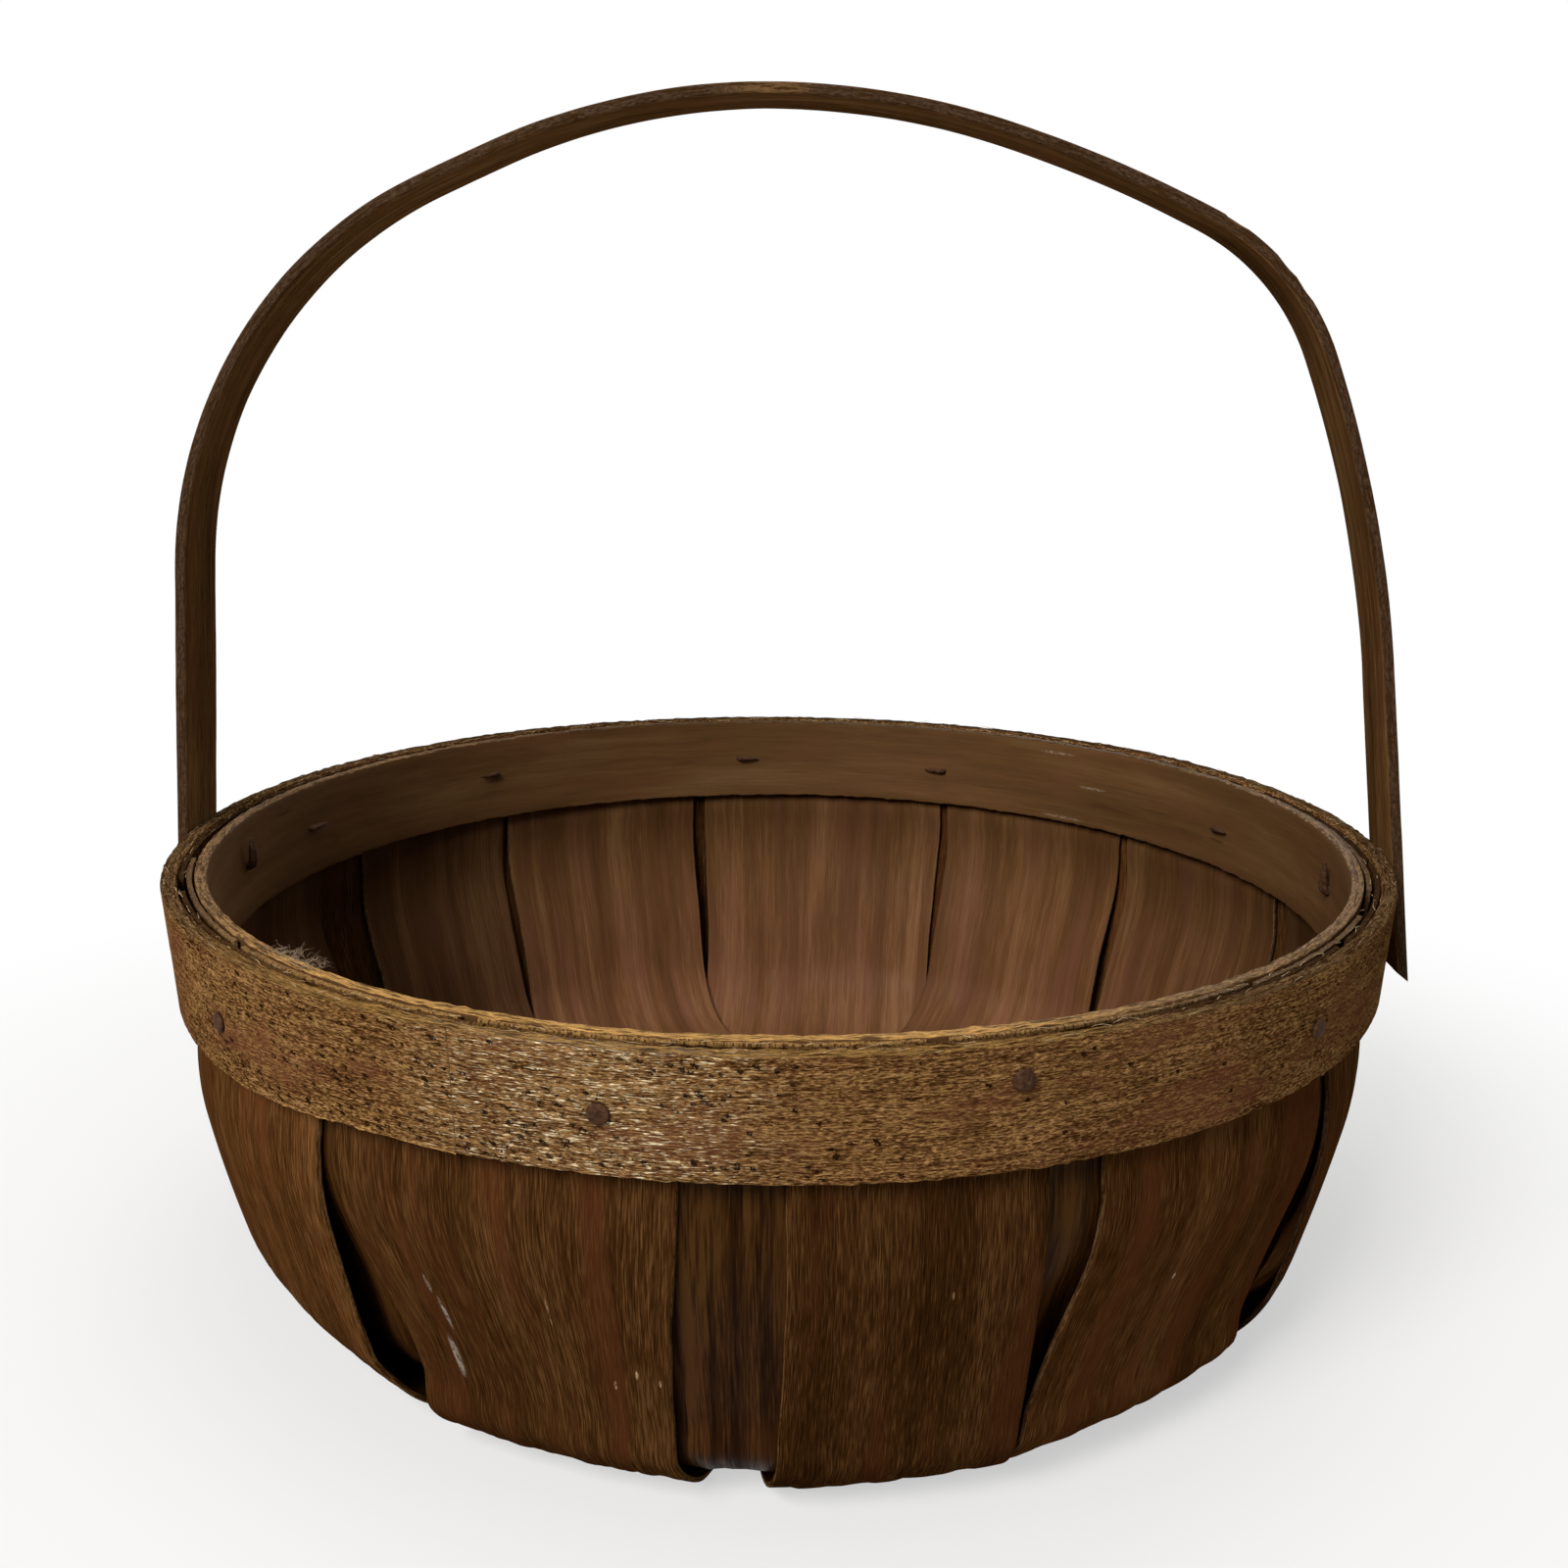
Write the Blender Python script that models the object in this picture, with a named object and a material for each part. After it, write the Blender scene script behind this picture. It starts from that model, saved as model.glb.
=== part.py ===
"""Round splint gathering basket with a swinging bentwood handle.

Twelve thin splints cross under the floor and turn up as the wall.  Their
ends are clamped between an outer and an inner hoop and tacked through.
The handle is one bent strip that hangs on two nails, one on each side.

Lengths below are in millimetres and turn into metres where a mesh is made.
World frame: origin on the ground under the middle of the floor, +Z up,
the front of the basket towards -Y and its right side towards +X.
Bearings are degrees from the front, positive towards the right side.
"""
import math

import bmesh
import bpy
from mathutils import Euler, Vector

MM = 0.001

# Rim and body
RIM_RADIUS = 165.0
BODY_HEIGHT = 117.2
HOOP_HEIGHT = 27.5
HOOP_LEAN = 4.0
OUTER_HOOP_THICK = 3.8
INNER_HOOP_THICK = 3.0
HOOP_SEGMENTS = 72

# A hoop is one strip whose feathered ends lie over each other
LAP_TIP = 0.8
LAP_STEPS = 8
LAP_RISE_STEPS = 3
OUTER_LAP_END = -23.0
INNER_LAP_END = 210.0
# The outer hoop is this much deeper just before its outer end.  It starts
# to widen, is widest, narrows and is narrow again at these turns in degrees
# from its hidden end
HOOP_EXTRA_DEPTH = 3.4
HOOP_WIDENING = (300.0, 335.0, 372.0, 396.0)

# Clearance left between two pieces that touch on the real basket
SEAT_GAP = 0.3

# Splints
SPLINT_THICK = 1.2
SPLINT_DROP = 0.9
ACROSS = 4
# Height between neighbouring splints where all twelve cross
HUB_PITCH = SPLINT_THICK + SEAT_GAP
# Depth between neighbouring sets of splints at the bottom edge
RING_DEPTH = 2.35
# The crossing ends and the floor levels out at this share of its radius
HUB_SHARE = 0.72

# Wall outline from the hoop down: lean in degrees, inward is positive
UNDER_HOOP_RUN = 6.0
BULGE_LEAN = -7.5
BULGE_RUN = 24.0
WALL_LEAN = 12.0
WALL_RUN = 34.0
FOOT_LEAN = 16.0
# Share of the body height over which the sets of splints come together
CLAMP_START = 0.30
CLAMP_END = 0.70
# How much of its hollow a splint loses where it turns under the floor
FLATTENING = 0.30

# Shape of one half of a splint, front or back: how far it sways to the
# right at the bottom edge as a share of its width, then how far its bend
# stands out from the common outline and how much further its right edge
# stands out than its left, both as shares of the body height
PLAIN_HALF = (0.0, 0.0, 0.0)

# Splints of the outer wall: bearing, span at the rim in degrees, width at
# the bottom edge as a share of the rim width, front half and back half.
# Right is right as seen from outside.
OUTER_SPLINTS = (
    (127.0, 28.2, 0.96, PLAIN_HALF, (0.05, -0.0110, 0.024)),
    (10.5, 19.4, 0.97, (0.0, 0.015, -0.010), PLAIN_HALF),
    (67.2, 25.0, 0.97, PLAIN_HALF, PLAIN_HALF),
    (-22.0, 29.4, 0.75, (0.06, 0.0270, -0.010), (0.03, 0.0, 0.0)),
    (38.7, 27.0, 0.94, (-0.12, 0.0250, 0.0370), PLAIN_HALF),
    (95.0, 26.8, 0.95, PLAIN_HALF, PLAIN_HALF),
)
# Splints of the lining, same columns
INNER_SPLINTS = (
    (-64.0, 26.4, 0.94, PLAIN_HALF, PLAIN_HALF),
    (-5.75, 32.0, 0.93, PLAIN_HALF, PLAIN_HALF),
    (51.0, 21.8, 0.94, PLAIN_HALF, PLAIN_HALF),
    (-36.3, 25.0, 0.94, PLAIN_HALF, PLAIN_HALF),
    (25.5, 26.0, 0.93, PLAIN_HALF, PLAIN_HALF),
    (85.0, 28.2, 0.94, PLAIN_HALF, PLAIN_HALF),
)

# Tacks through the hoops: bearing and height as a share of the hoop
TACKS = (
    (-49.5, 0.38),
    (-12.0, 0.50),
    (16.8, 0.73),
    (46.0, 0.50),
    (114.0, 0.42),
    (157.0, 0.42),
    (186.0, 0.48),
    (221.0, 0.55),
    (253.0, 0.50),
)
TACK_HEAD_DIAMETER = 4.8
TACK_HEAD_THICK = 0.9
TACK_SHANK_DIAMETER = 1.8
TACK_CLINCH = 5.5

# Handle: one strip, straight legs and arcs between the headings.  A heading
# is degrees from straight up towards the right side.  Lengths are shares of
# the rim radius.
HANDLE_WIDTH = 21.6
HANDLE_THICK = 3.0
# Room between a leg and the top edge of the outer hoop
HANDLE_LEG_CLEAR = 0.5
HANDLE_HEADINGS = (3.5, 65.5, 67.2, 93.9, 106.8, 116.2, 158.1, 172.8)
HANDLE_RUNS = (0.520, 0.778, 0.125, 0.522, 0.284, 0.353, 0.292, 0.528)
# The run that gives way so that the right leg lands beside the hoop
HANDLE_CROWN_RUN = 4
HANDLE_ARC_STEP = 6.0
HANDLE_TAIL = 22.2
HANDLE_TIP_CUT = 3.0
HANDLE_EDGE_ROUND = 0.5
HANDLE_OFFSET = -5.0
HANDLE_TURN = -3.2
HANDLE_REST_LEAN = -1.0

# Nails that the handle turns on, halfway up the hoops
NAIL_HEAD_DIAMETER = 6.4
NAIL_HEAD_THICK = 1.2
NAIL_SHANK_DIAMETER = 2.6
NAIL_CLINCH = 6.5
PIVOT_DROP = 13.2

ROUND_SIDES = 10


def smooth(value, low, high):
    """Ease from 0 at low to 1 at high."""
    share = min(max((value - low) / (high - low), 0.0), 1.0)
    return share * share * (3.0 - 2.0 * share)


def facet_share(span):
    """Radius share that the flat between two points of a ring keeps."""
    return math.cos(math.radians(span) / 2.0)


HOOP_TAN = math.tan(math.radians(HOOP_LEAN))
OUTER_HOOP_WALL = OUTER_HOOP_THICK / math.cos(math.radians(HOOP_LEAN))
INNER_HOOP_WALL = INNER_HOOP_THICK / math.cos(math.radians(HOOP_LEAN))
HOOP_STEP = 360.0 / HOOP_SEGMENTS
WIDEST_SPAN = max(item[1] for item in OUTER_SPLINTS + INNER_SPLINTS)
SPLINT_FACET = facet_share(WIDEST_SPAN / ACROSS)

# Radii at rim height, each seated inside the one before
OUTER_HOOP_INSIDE = RIM_RADIUS - OUTER_HOOP_WALL
SPLINT_SEAT = OUTER_HOOP_INSIDE * facet_share(HOOP_STEP) - SEAT_GAP
LINING_SEAT = (SPLINT_SEAT - SPLINT_THICK) * SPLINT_FACET - SEAT_GAP
LINING_SETBACK = SPLINT_SEAT - LINING_SEAT
INNER_HOOP_OUTSIDE = (LINING_SEAT - SPLINT_THICK) * SPLINT_FACET - SEAT_GAP
INNER_HOOP_INSIDE = INNER_HOOP_OUTSIDE - INNER_HOOP_WALL

PIVOT_HEIGHT = BODY_HEIGHT - PIVOT_DROP


def make_material(name, color, roughness, metallic=0.0):
    """Make a plain Principled material."""
    material = bpy.data.materials.new(name)
    material.use_nodes = True
    material.diffuse_color = (*color, 1.0)
    shader = material.node_tree.nodes["Principled BSDF"]
    shader.inputs["Base Color"].default_value = (*color, 1.0)
    shader.inputs["Roughness"].default_value = roughness
    shader.inputs["Metallic"].default_value = metallic
    return material


def make_object(name, points, faces, material, smooth_sides=True):
    """Turn millimetre points and faces into one closed object."""
    mesh = bpy.data.meshes.new(name)
    mesh.from_pydata([Vector(point) * MM for point in points], [], faces)
    work = bmesh.new()
    work.from_mesh(mesh)
    bmesh.ops.recalc_face_normals(work, faces=work.faces)
    for face in work.faces:
        face.smooth = smooth_sides
    work.to_mesh(mesh)
    work.free()
    mesh.materials.append(material)
    obj = bpy.data.objects.new(name, mesh)
    bpy.context.scene.collection.objects.link(obj)
    return obj


def bearing_vector(bearing):
    """Horizontal unit vector that points outward at a bearing."""
    angle = math.radians(bearing)
    return Vector((math.sin(angle), -math.cos(angle), 0.0))


def across_vector(bearing):
    """Horizontal unit vector to the right of a bearing, seen from outside."""
    angle = math.radians(bearing)
    return Vector((math.cos(angle), math.sin(angle), 0.0))


def walk(radius, height, lean_from, lean_to, run):
    """Follow the outline down by one run while its lean changes evenly."""
    start = math.radians(lean_from)
    turn = math.radians(lean_to) - start
    if abs(turn) < 1e-9:
        inward = math.sin(start) * run
        down = math.cos(start) * run
    else:
        inward = (math.cos(start) - math.cos(start + turn)) * run / turn
        down = (math.sin(start + turn) - math.sin(start)) * run / turn
    return radius - inward, height - down


def wall_outline():
    """Points (radius, height, lean) of the outer wall from rim to floor."""
    hoop_run = (HOOP_HEIGHT + 1.0) / math.cos(math.radians(HOOP_LEAN))
    runs = [
        (HOOP_LEAN, HOOP_LEAN, hoop_run, 1),
        (HOOP_LEAN, BULGE_LEAN, UNDER_HOOP_RUN, 1),
        (BULGE_LEAN, WALL_LEAN, BULGE_RUN, 3),
        (WALL_LEAN, FOOT_LEAN, WALL_RUN, 2),
    ]
    drop = SPLINT_DROP
    radius = SPLINT_SEAT - drop * HOOP_TAN
    height = BODY_HEIGHT - drop
    rows = [(radius, height, HOOP_LEAN)]
    for lean_from, lean_to, run, steps in runs:
        for step in range(steps):
            lean_a = lean_from + (lean_to - lean_from) * step / steps
            lean_b = lean_from + (lean_to - lean_from) * (step + 1) / steps
            radius, height = walk(radius, height, lean_a, lean_b, run / steps)
            rows.append((radius, height, lean_b))
    # The bend takes up what height is left and ends level with the ground
    bend_steps = 6
    foot = math.radians(FOOT_LEAN)
    bend_radius = height / (1.0 - math.sin(foot))
    bend_run = bend_radius * (math.pi / 2.0 - foot) / bend_steps
    for step in range(bend_steps):
        lean_a = FOOT_LEAN + (90.0 - FOOT_LEAN) * step / bend_steps
        lean_b = FOOT_LEAN + (90.0 - FOOT_LEAN) * (step + 1) / bend_steps
        radius, height = walk(radius, height, lean_a, lean_b, bend_run)
        rows.append((radius, max(height, 0.0), lean_b))
    return rows


WALL_ROWS = wall_outline()
FLOOR_RADIUS = WALL_ROWS[-1][0]
FLOOR_STEPS = 4


class Splint:
    """One thin strip that runs from rim to rim under the floor."""

    def __init__(self, plan, order, ring_level, lining):
        self.bearing = plan[0]
        self.rim_width = 2.0 * SPLINT_SEAT * math.sin(math.radians(plan[1]) / 2.0)
        self.foot_width = self.rim_width * plan[2]
        self.halves = plan[3:]
        self.hub_height = order * HUB_PITCH
        self.ring_depth = ring_level * RING_DEPTH
        self.rim_depth = LINING_SETBACK if lining else 0.0
        self.flattening = 0.0 if lining else FLATTENING

    def wall_row(self, radius, height, lean, side):
        """Row of points on the wall at one point of the outline."""
        below = (BODY_HEIGHT - height) / BODY_HEIGHT
        loose = smooth(below, CLAMP_START, CLAMP_END)
        foot = smooth(below, CLAMP_START, 0.80)
        depth = self.rim_depth + (self.ring_depth - self.rim_depth) * loose
        bend = smooth(lean, FOOT_LEAN, 35.0) * (1.0 - smooth(lean, 60.0, 85.0))
        depth -= self.halves[side][1] * BODY_HEIGHT * bend
        tilt = self.halves[side][2] * BODY_HEIGHT * bend
        width = self.rim_width + (self.foot_width - self.rim_width) * foot
        hollow = 1.0 - self.flattening * foot
        sway = self.halves[side][0] * self.rim_width * foot
        return self.row(radius, height, lean, depth, width, hollow, sway, side, tilt)

    def floor_row(self, share, side):
        """Row of points on the floor at a share of the floor radius."""
        level = smooth(share, HUB_SHARE, 1.0)
        depth = self.hub_height + (self.ring_depth - self.hub_height) * level
        hollow = 1.0 if share >= HUB_SHARE - 1e-6 else 0.0
        hollow -= self.flattening * smooth(share, 0.86, 1.0)
        sway = self.halves[side][0] * self.rim_width * level
        radius = FLOOR_RADIUS * share
        width = self.foot_width
        return self.row(radius, 0.0, 90.0, depth, width, hollow, sway, side)

    def row(self, radius, height, lean, depth, width, hollow, sway, side, tilt=0.0):
        """Outer and inner points across the splint at one cross section."""
        angle = math.radians(lean)
        inward = Vector((-math.cos(angle), math.sin(angle)))
        way = -1.0 if side else 1.0
        ahead = bearing_vector(self.bearing) * way
        across = across_vector(self.bearing)
        outer = []
        inner = []
        for index in range(ACROSS + 1):
            share = index / ACROSS - 0.5
            offset = way * sway + width * share
            face = depth - tilt * way * share
            for shift, points in ((face, outer), (face + SPLINT_THICK, inner)):
                reach = radius + inward.x * shift
                level = height + inward.y * shift
                sagitta = 0.0
                if hollow > 0.0:
                    sagitta = reach - math.sqrt(reach * reach - offset * offset)
                place = ahead * (reach - hollow * sagitta) + across * offset
                points.append((place.x, place.y, level))
        return outer + inner[::-1]

    def sections(self):
        """All cross sections from the front rim to the back rim."""
        halves = []
        for side in (0, 1):
            half = [self.wall_row(*row, side) for row in WALL_ROWS]
            for step in range(1, FLOOR_STEPS + 1):
                share = 1.0 - (1.0 - HUB_SHARE) * step / FLOOR_STEPS
                half.append(self.floor_row(share, side))
            half.append(self.floor_row(HUB_SHARE / 2.0, side))
            halves.append(half)
        middle = self.floor_row(0.0, 0)
        return halves[0] + [middle] + halves[1][::-1]


def loft(sections):
    """Points and faces of a closed body through equal cross sections."""
    count = len(sections[0])
    points = [point for section in sections for point in section]
    faces = []
    for row in range(len(sections) - 1):
        for column in range(count):
            after = (column + 1) % count
            base = row * count
            faces.append((
                base + column,
                base + after,
                base + count + after,
                base + count + column,
            ))
    return points, faces


def strip_caps(faces, sections):
    """Close both ends of a lofted splint with a row of quads."""
    count = len(sections[0])
    for base in (0, (len(sections) - 1) * count):
        for column in range(ACROSS):
            faces.append((
                base + column,
                base + column + 1,
                base + count - 2 - column,
                base + count - 1 - column,
            ))


def build_splint(name, plan, order, ring_level, lining, material):
    """Build one splint."""
    sections = Splint(plan, order, ring_level, lining).sections()
    points, faces = loft(sections)
    strip_caps(faces, sections)
    return make_object(name, points, faces, material)


def lap_state(position, wall):
    """Set-off and thickness of a hoop strip at a step along it."""
    feather = (wall - LAP_TIP) / LAP_STEPS
    thick = min(wall, LAP_TIP + feather * position)
    rise = (position - (HOOP_SEGMENTS - LAP_RISE_STEPS)) / LAP_RISE_STEPS
    offset = (LAP_TIP + SEAT_GAP) * min(max(rise, 0.0), 1.0)
    over = position - HOOP_SEGMENTS
    if over > 0:
        offset = LAP_TIP + feather * over + SEAT_GAP
        thick = wall - feather * over
    return offset, thick


def hoop_surface(bearing, seat, wall, lap_end, outward):
    """Radius at rim height of the exposed hoop face at a bearing."""
    start = lap_end - LAP_STEPS * HOOP_STEP
    position = ((bearing - start) % 360.0) / HOOP_STEP
    if position < LAP_STEPS:
        position += HOOP_SEGMENTS
    offset, thick = lap_state(position, wall)
    return seat + outward * (offset + thick)


def hoop_depth(position, extra):
    """Depth of a hoop strip at a step along it."""
    turned = position * HOOP_STEP
    start, full, narrowing, end = HOOP_WIDENING
    share = smooth(turned, start, full) * (1.0 - smooth(turned, narrowing, end))
    return HOOP_HEIGHT + extra * share


def build_hoop(name, seat, wall, lap_end, outward, material, extra=0.0):
    """Build a hoop as one strip wound once round and lapped.

    The seat face keeps its radius, and the lap builds up away from it.
    """
    start = lap_end - LAP_STEPS * HOOP_STEP
    sections = []
    for position in range(HOOP_SEGMENTS + LAP_STEPS + 1):
        offset, thick = lap_state(position, wall)
        near = seat + outward * offset
        far = near + outward * thick
        way = bearing_vector(start + position * HOOP_STEP)
        depth = hoop_depth(position, extra)
        fall = depth * HOOP_TAN
        top = BODY_HEIGHT
        bottom = BODY_HEIGHT - depth
        section = []
        for radius, height in (
            (near, top),
            (far, top),
            (far - fall, bottom),
            (near - fall, bottom),
        ):
            section.append((way.x * radius, way.y * radius, height))
        sections.append(section)
    points, faces = loft(sections)
    last = len(points) - 4
    faces.append((0, 1, 2, 3))
    faces.append((last, last + 1, last + 2, last + 3))
    return make_object(name, points, faces, material)


def ring_frame(direction, hint):
    """Two unit vectors square to a direction, the first close to hint."""
    first = (hint - direction * hint.dot(direction)).normalized()
    return first, direction.cross(first)


def sweep_round(name, stations, material):
    """Closed round body through stations of point, direction and radius."""
    sections = []
    hint = Vector((0.0, 0.0, 1.0))
    if abs(stations[0][1].z) > 0.9:
        hint = Vector((1.0, 0.0, 0.0))
    for point, direction, radius in stations:
        first, second = ring_frame(direction, hint)
        hint = first
        ring = []
        for side in range(ROUND_SIDES):
            angle = 2.0 * math.pi * side / ROUND_SIDES
            spoke = first * math.cos(angle) + second * math.sin(angle)
            place = point + spoke * radius
            ring.append((place.x, place.y, place.z))
        sections.append(ring)
    points, faces = loft(sections)
    last = len(points) - ROUND_SIDES
    faces.append(tuple(range(ROUND_SIDES)))
    faces.append(tuple(range(last, last + ROUND_SIDES)))
    return make_object(name, points, faces, material)


def clinched_stations(seat, inward, length, head, shank, clinch, fold):
    """Stations of a nail from its domed head to its folded tip.

    seat is the point on the outer surface, inward the way the nail is
    driven, length the thickness that it passes and fold the way its tip
    is bent over.
    """
    head_radius, head_thick = head
    under = seat - inward * SEAT_GAP
    top = under - inward * head_thick
    stations = [
        (top, inward, head_radius * 0.55),
        (top + inward * head_thick * 0.3, inward, head_radius * 0.9),
        (top + inward * head_thick * 0.65, inward, head_radius),
        (under, inward, head_radius),
        (under + inward * 0.02, inward, shank),
    ]
    bend = shank + SEAT_GAP + 0.2
    corner = seat + inward * length
    steps = 4
    for step in range(steps + 1):
        angle = math.pi / 2.0 * step / steps
        along = inward * (bend * math.sin(angle))
        aside = fold * (bend * (1.0 - math.cos(angle)))
        heading = inward * math.cos(angle) + fold * math.sin(angle)
        stations.append((corner + along + aside, heading.normalized(), shank))
    folded = corner + inward * bend + fold * bend
    stations.append((folded + fold * clinch * 0.6, fold, shank * 0.85))
    stations.append((folded + fold * clinch, fold, shank * 0.3))
    return stations


def tack_layout():
    """Seat point, direction and pass length of every tack."""
    layout = []
    lean = math.radians(HOOP_LEAN)
    for bearing, share in TACKS:
        outward = bearing_vector(bearing)
        height = BODY_HEIGHT - HOOP_HEIGHT * (1.0 - share)
        below = BODY_HEIGHT - height
        face = hoop_surface(
            bearing, OUTER_HOOP_INSIDE, OUTER_HOOP_WALL, OUTER_LAP_END, 1.0
        )
        inside = hoop_surface(
            bearing, INNER_HOOP_OUTSIDE, INNER_HOOP_WALL, INNER_LAP_END, -1.0
        )
        seat = outward * (face - below * HOOP_TAN)
        seat.z = height
        inward = outward * -math.cos(lean)
        inward.z = math.sin(lean)
        length = (face - inside) * math.cos(lean)
        layout.append((bearing, seat, inward, length))
    return layout


def handle_axis():
    """Unit vector along the two handle nails, towards the right side."""
    angle = math.radians(HANDLE_TURN)
    return Vector((math.cos(angle), math.sin(angle), 0.0))


def pivot_middle():
    """Point halfway between the two handle nails."""
    return Vector((0.0, HANDLE_OFFSET, PIVOT_HEIGHT))


def reach_along_axis(radius, way):
    """Distance from the pivot middle to a circle round the basket axis."""
    middle = Vector((0.0, HANDLE_OFFSET, 0.0))
    ahead = handle_axis() * way
    along = middle.dot(ahead)
    return -along + math.sqrt(along * along - middle.length_squared + radius * radius)


def leg_reach(heading):
    """Distance across from the middle to a leg's outer face at its nail."""
    slant = abs(math.tan(math.radians(heading)))
    return RIM_RADIUS + HANDLE_LEG_CLEAR + HANDLE_THICK + PIVOT_DROP * slant


def handle_outline():
    """Outer face of the handle, its crown stretched to fit over the rim."""
    stretch = 0.0
    for _ in range(4):
        rows = handle_rows(stretch)
        stretch += leg_reach(HANDLE_HEADINGS[-1]) - rows[-3][0]
    return handle_rows(stretch)


def handle_rows(stretch):
    """Rows (across, up, heading) of the outer face from left to right."""
    heading = HANDLE_HEADINGS[0]
    left = -leg_reach(heading)
    angle = math.radians(heading)
    tail = HANDLE_TAIL / math.cos(angle)
    across = left - math.sin(angle) * tail
    up = -HANDLE_TAIL
    rows = [(across, up, heading)]

    def advance(target, run, steps):
        nonlocal across, up, heading
        turn = (target - heading) / steps
        for _ in range(steps):
            middle = math.radians(heading + turn / 2.0)
            half = math.radians(turn / 2.0)
            chord = run / steps
            if abs(half) > 1e-9:
                chord *= math.sin(half) / half
            across += math.sin(middle) * chord
            up += math.cos(middle) * chord
            heading += turn
            rows.append((across, up, heading))

    advance(heading, tail, 2)
    advance(heading, HANDLE_RUNS[0] * RIM_RADIUS, 3)
    for index in range(1, len(HANDLE_RUNS)):
        target = HANDLE_HEADINGS[index]
        length = HANDLE_RUNS[index] * RIM_RADIUS
        if index == HANDLE_CROWN_RUN:
            length += stretch
        steps = max(2, math.ceil(abs(target - heading) / HANDLE_ARC_STEP))
        advance(target, length, steps)
    # The right leg runs on to the nail and past it
    slant = -math.cos(math.radians(heading))
    advance(heading, up / slant, 3)
    advance(heading, HANDLE_TAIL / slant, 2)
    return rows


def handle_section(across, up, heading, trim_outer=0.0, trim_inner=0.0):
    """Cross section with rounded edges, outer face first."""
    angle = math.radians(heading)
    along = Vector((math.sin(angle), math.cos(angle)))
    inward = Vector((math.cos(angle), -math.sin(angle)))
    edge = HANDLE_EDGE_ROUND
    half = HANDLE_WIDTH / 2.0
    thick = HANDLE_THICK
    shape = (
        (-half + edge, 0.0),
        (half - edge, 0.0),
        (half, edge),
        (half, thick - edge),
        (half - edge, thick),
        (-half + edge, thick),
        (-half, thick - edge),
        (-half, edge),
    )
    section = []
    for side, depth in shape:
        share = depth / thick
        trim = trim_outer + (trim_inner - trim_outer) * share
        x = across + inward.x * depth + along.x * trim
        z = up + inward.y * depth + along.y * trim
        section.append((x, side, z))
    return section


def build_handle(material):
    """Build the handle about its pivot line and place it on the nails."""
    rows = handle_outline()
    cut = HANDLE_TIP_CUT
    sections = []
    for index, row in enumerate(rows):
        if index == 0:
            sections.append(handle_section(*row, 0.0, cut))
        elif index == len(rows) - 1:
            sections.append(handle_section(*row, 0.0, -cut))
        else:
            sections.append(handle_section(*row))
    points, faces = loft(sections)
    last = len(points) - 8
    faces.append(tuple(range(8)))
    faces.append(tuple(range(last, last + 8)))
    handle = make_object("handle", points, faces, material)
    handle.location = pivot_middle() * MM
    turn = math.radians(HANDLE_TURN)
    lean = math.radians(HANDLE_REST_LEAN)
    handle.rotation_euler = Euler((lean, 0.0, turn), "XYZ")
    return handle


def nail_layout():
    """Seat point, direction and pass length of both handle nails."""
    layout = []
    rows = handle_outline()
    level = PIVOT_DROP * HOOP_TAN
    for name, way in (("handle_nail_left", -1.0), ("handle_nail_right", 1.0)):
        crossing = rows[2] if way < 0.0 else rows[-3]
        lean = math.atan(abs(math.tan(math.radians(crossing[2]))))
        outside = abs(crossing[0]) + NAIL_HEAD_DIAMETER / 2.0 * math.tan(lean)
        inside = INNER_HOOP_INSIDE - level
        ahead = handle_axis() * way
        seat = pivot_middle() + ahead * outside
        length = outside - reach_along_axis(inside, way)
        layout.append((name, seat, -ahead, length))
    return layout


def add_cutter(points, faces, base, direction, before, after, radius):
    """Add one round drill to the shared cutter lists."""
    hint = Vector((0.0, 0.0, 1.0))
    first, second = ring_frame(direction, hint)
    start = len(points)
    for place in (base - direction * before, base + direction * after):
        for side in range(ROUND_SIDES):
            angle = 2.0 * math.pi * (side + 0.5) / ROUND_SIDES
            spoke = first * math.cos(angle) + second * math.sin(angle)
            points.append(tuple(place + spoke * radius))
    for side in range(ROUND_SIDES):
        after_side = (side + 1) % ROUND_SIDES
        faces.append((
            start + side,
            start + after_side,
            start + ROUND_SIDES + after_side,
            start + ROUND_SIDES + side,
        ))
    faces.append(tuple(start + side for side in range(ROUND_SIDES)))
    faces.append(tuple(start + ROUND_SIDES + side for side in range(ROUND_SIDES)))


def build_cutter(name, drills, material):
    """Hidden body of drills that open the nail holes."""
    points = []
    faces = []
    for base, direction, before, after, radius in drills:
        add_cutter(points, faces, base, direction, before, after, radius)
    cutter = make_object(name, points, faces, material, smooth_sides=False)
    cutter.hide_render = True
    cutter.hide_set(True)
    cutter.display_type = "WIRE"
    return cutter


def cut_with(obj, cutter):
    """Cut one object with the drills."""
    modifier = obj.modifiers.new("nail_holes", "BOOLEAN")
    modifier.operation = "DIFFERENCE"
    modifier.solver = "EXACT"
    modifier.object = cutter


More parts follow.
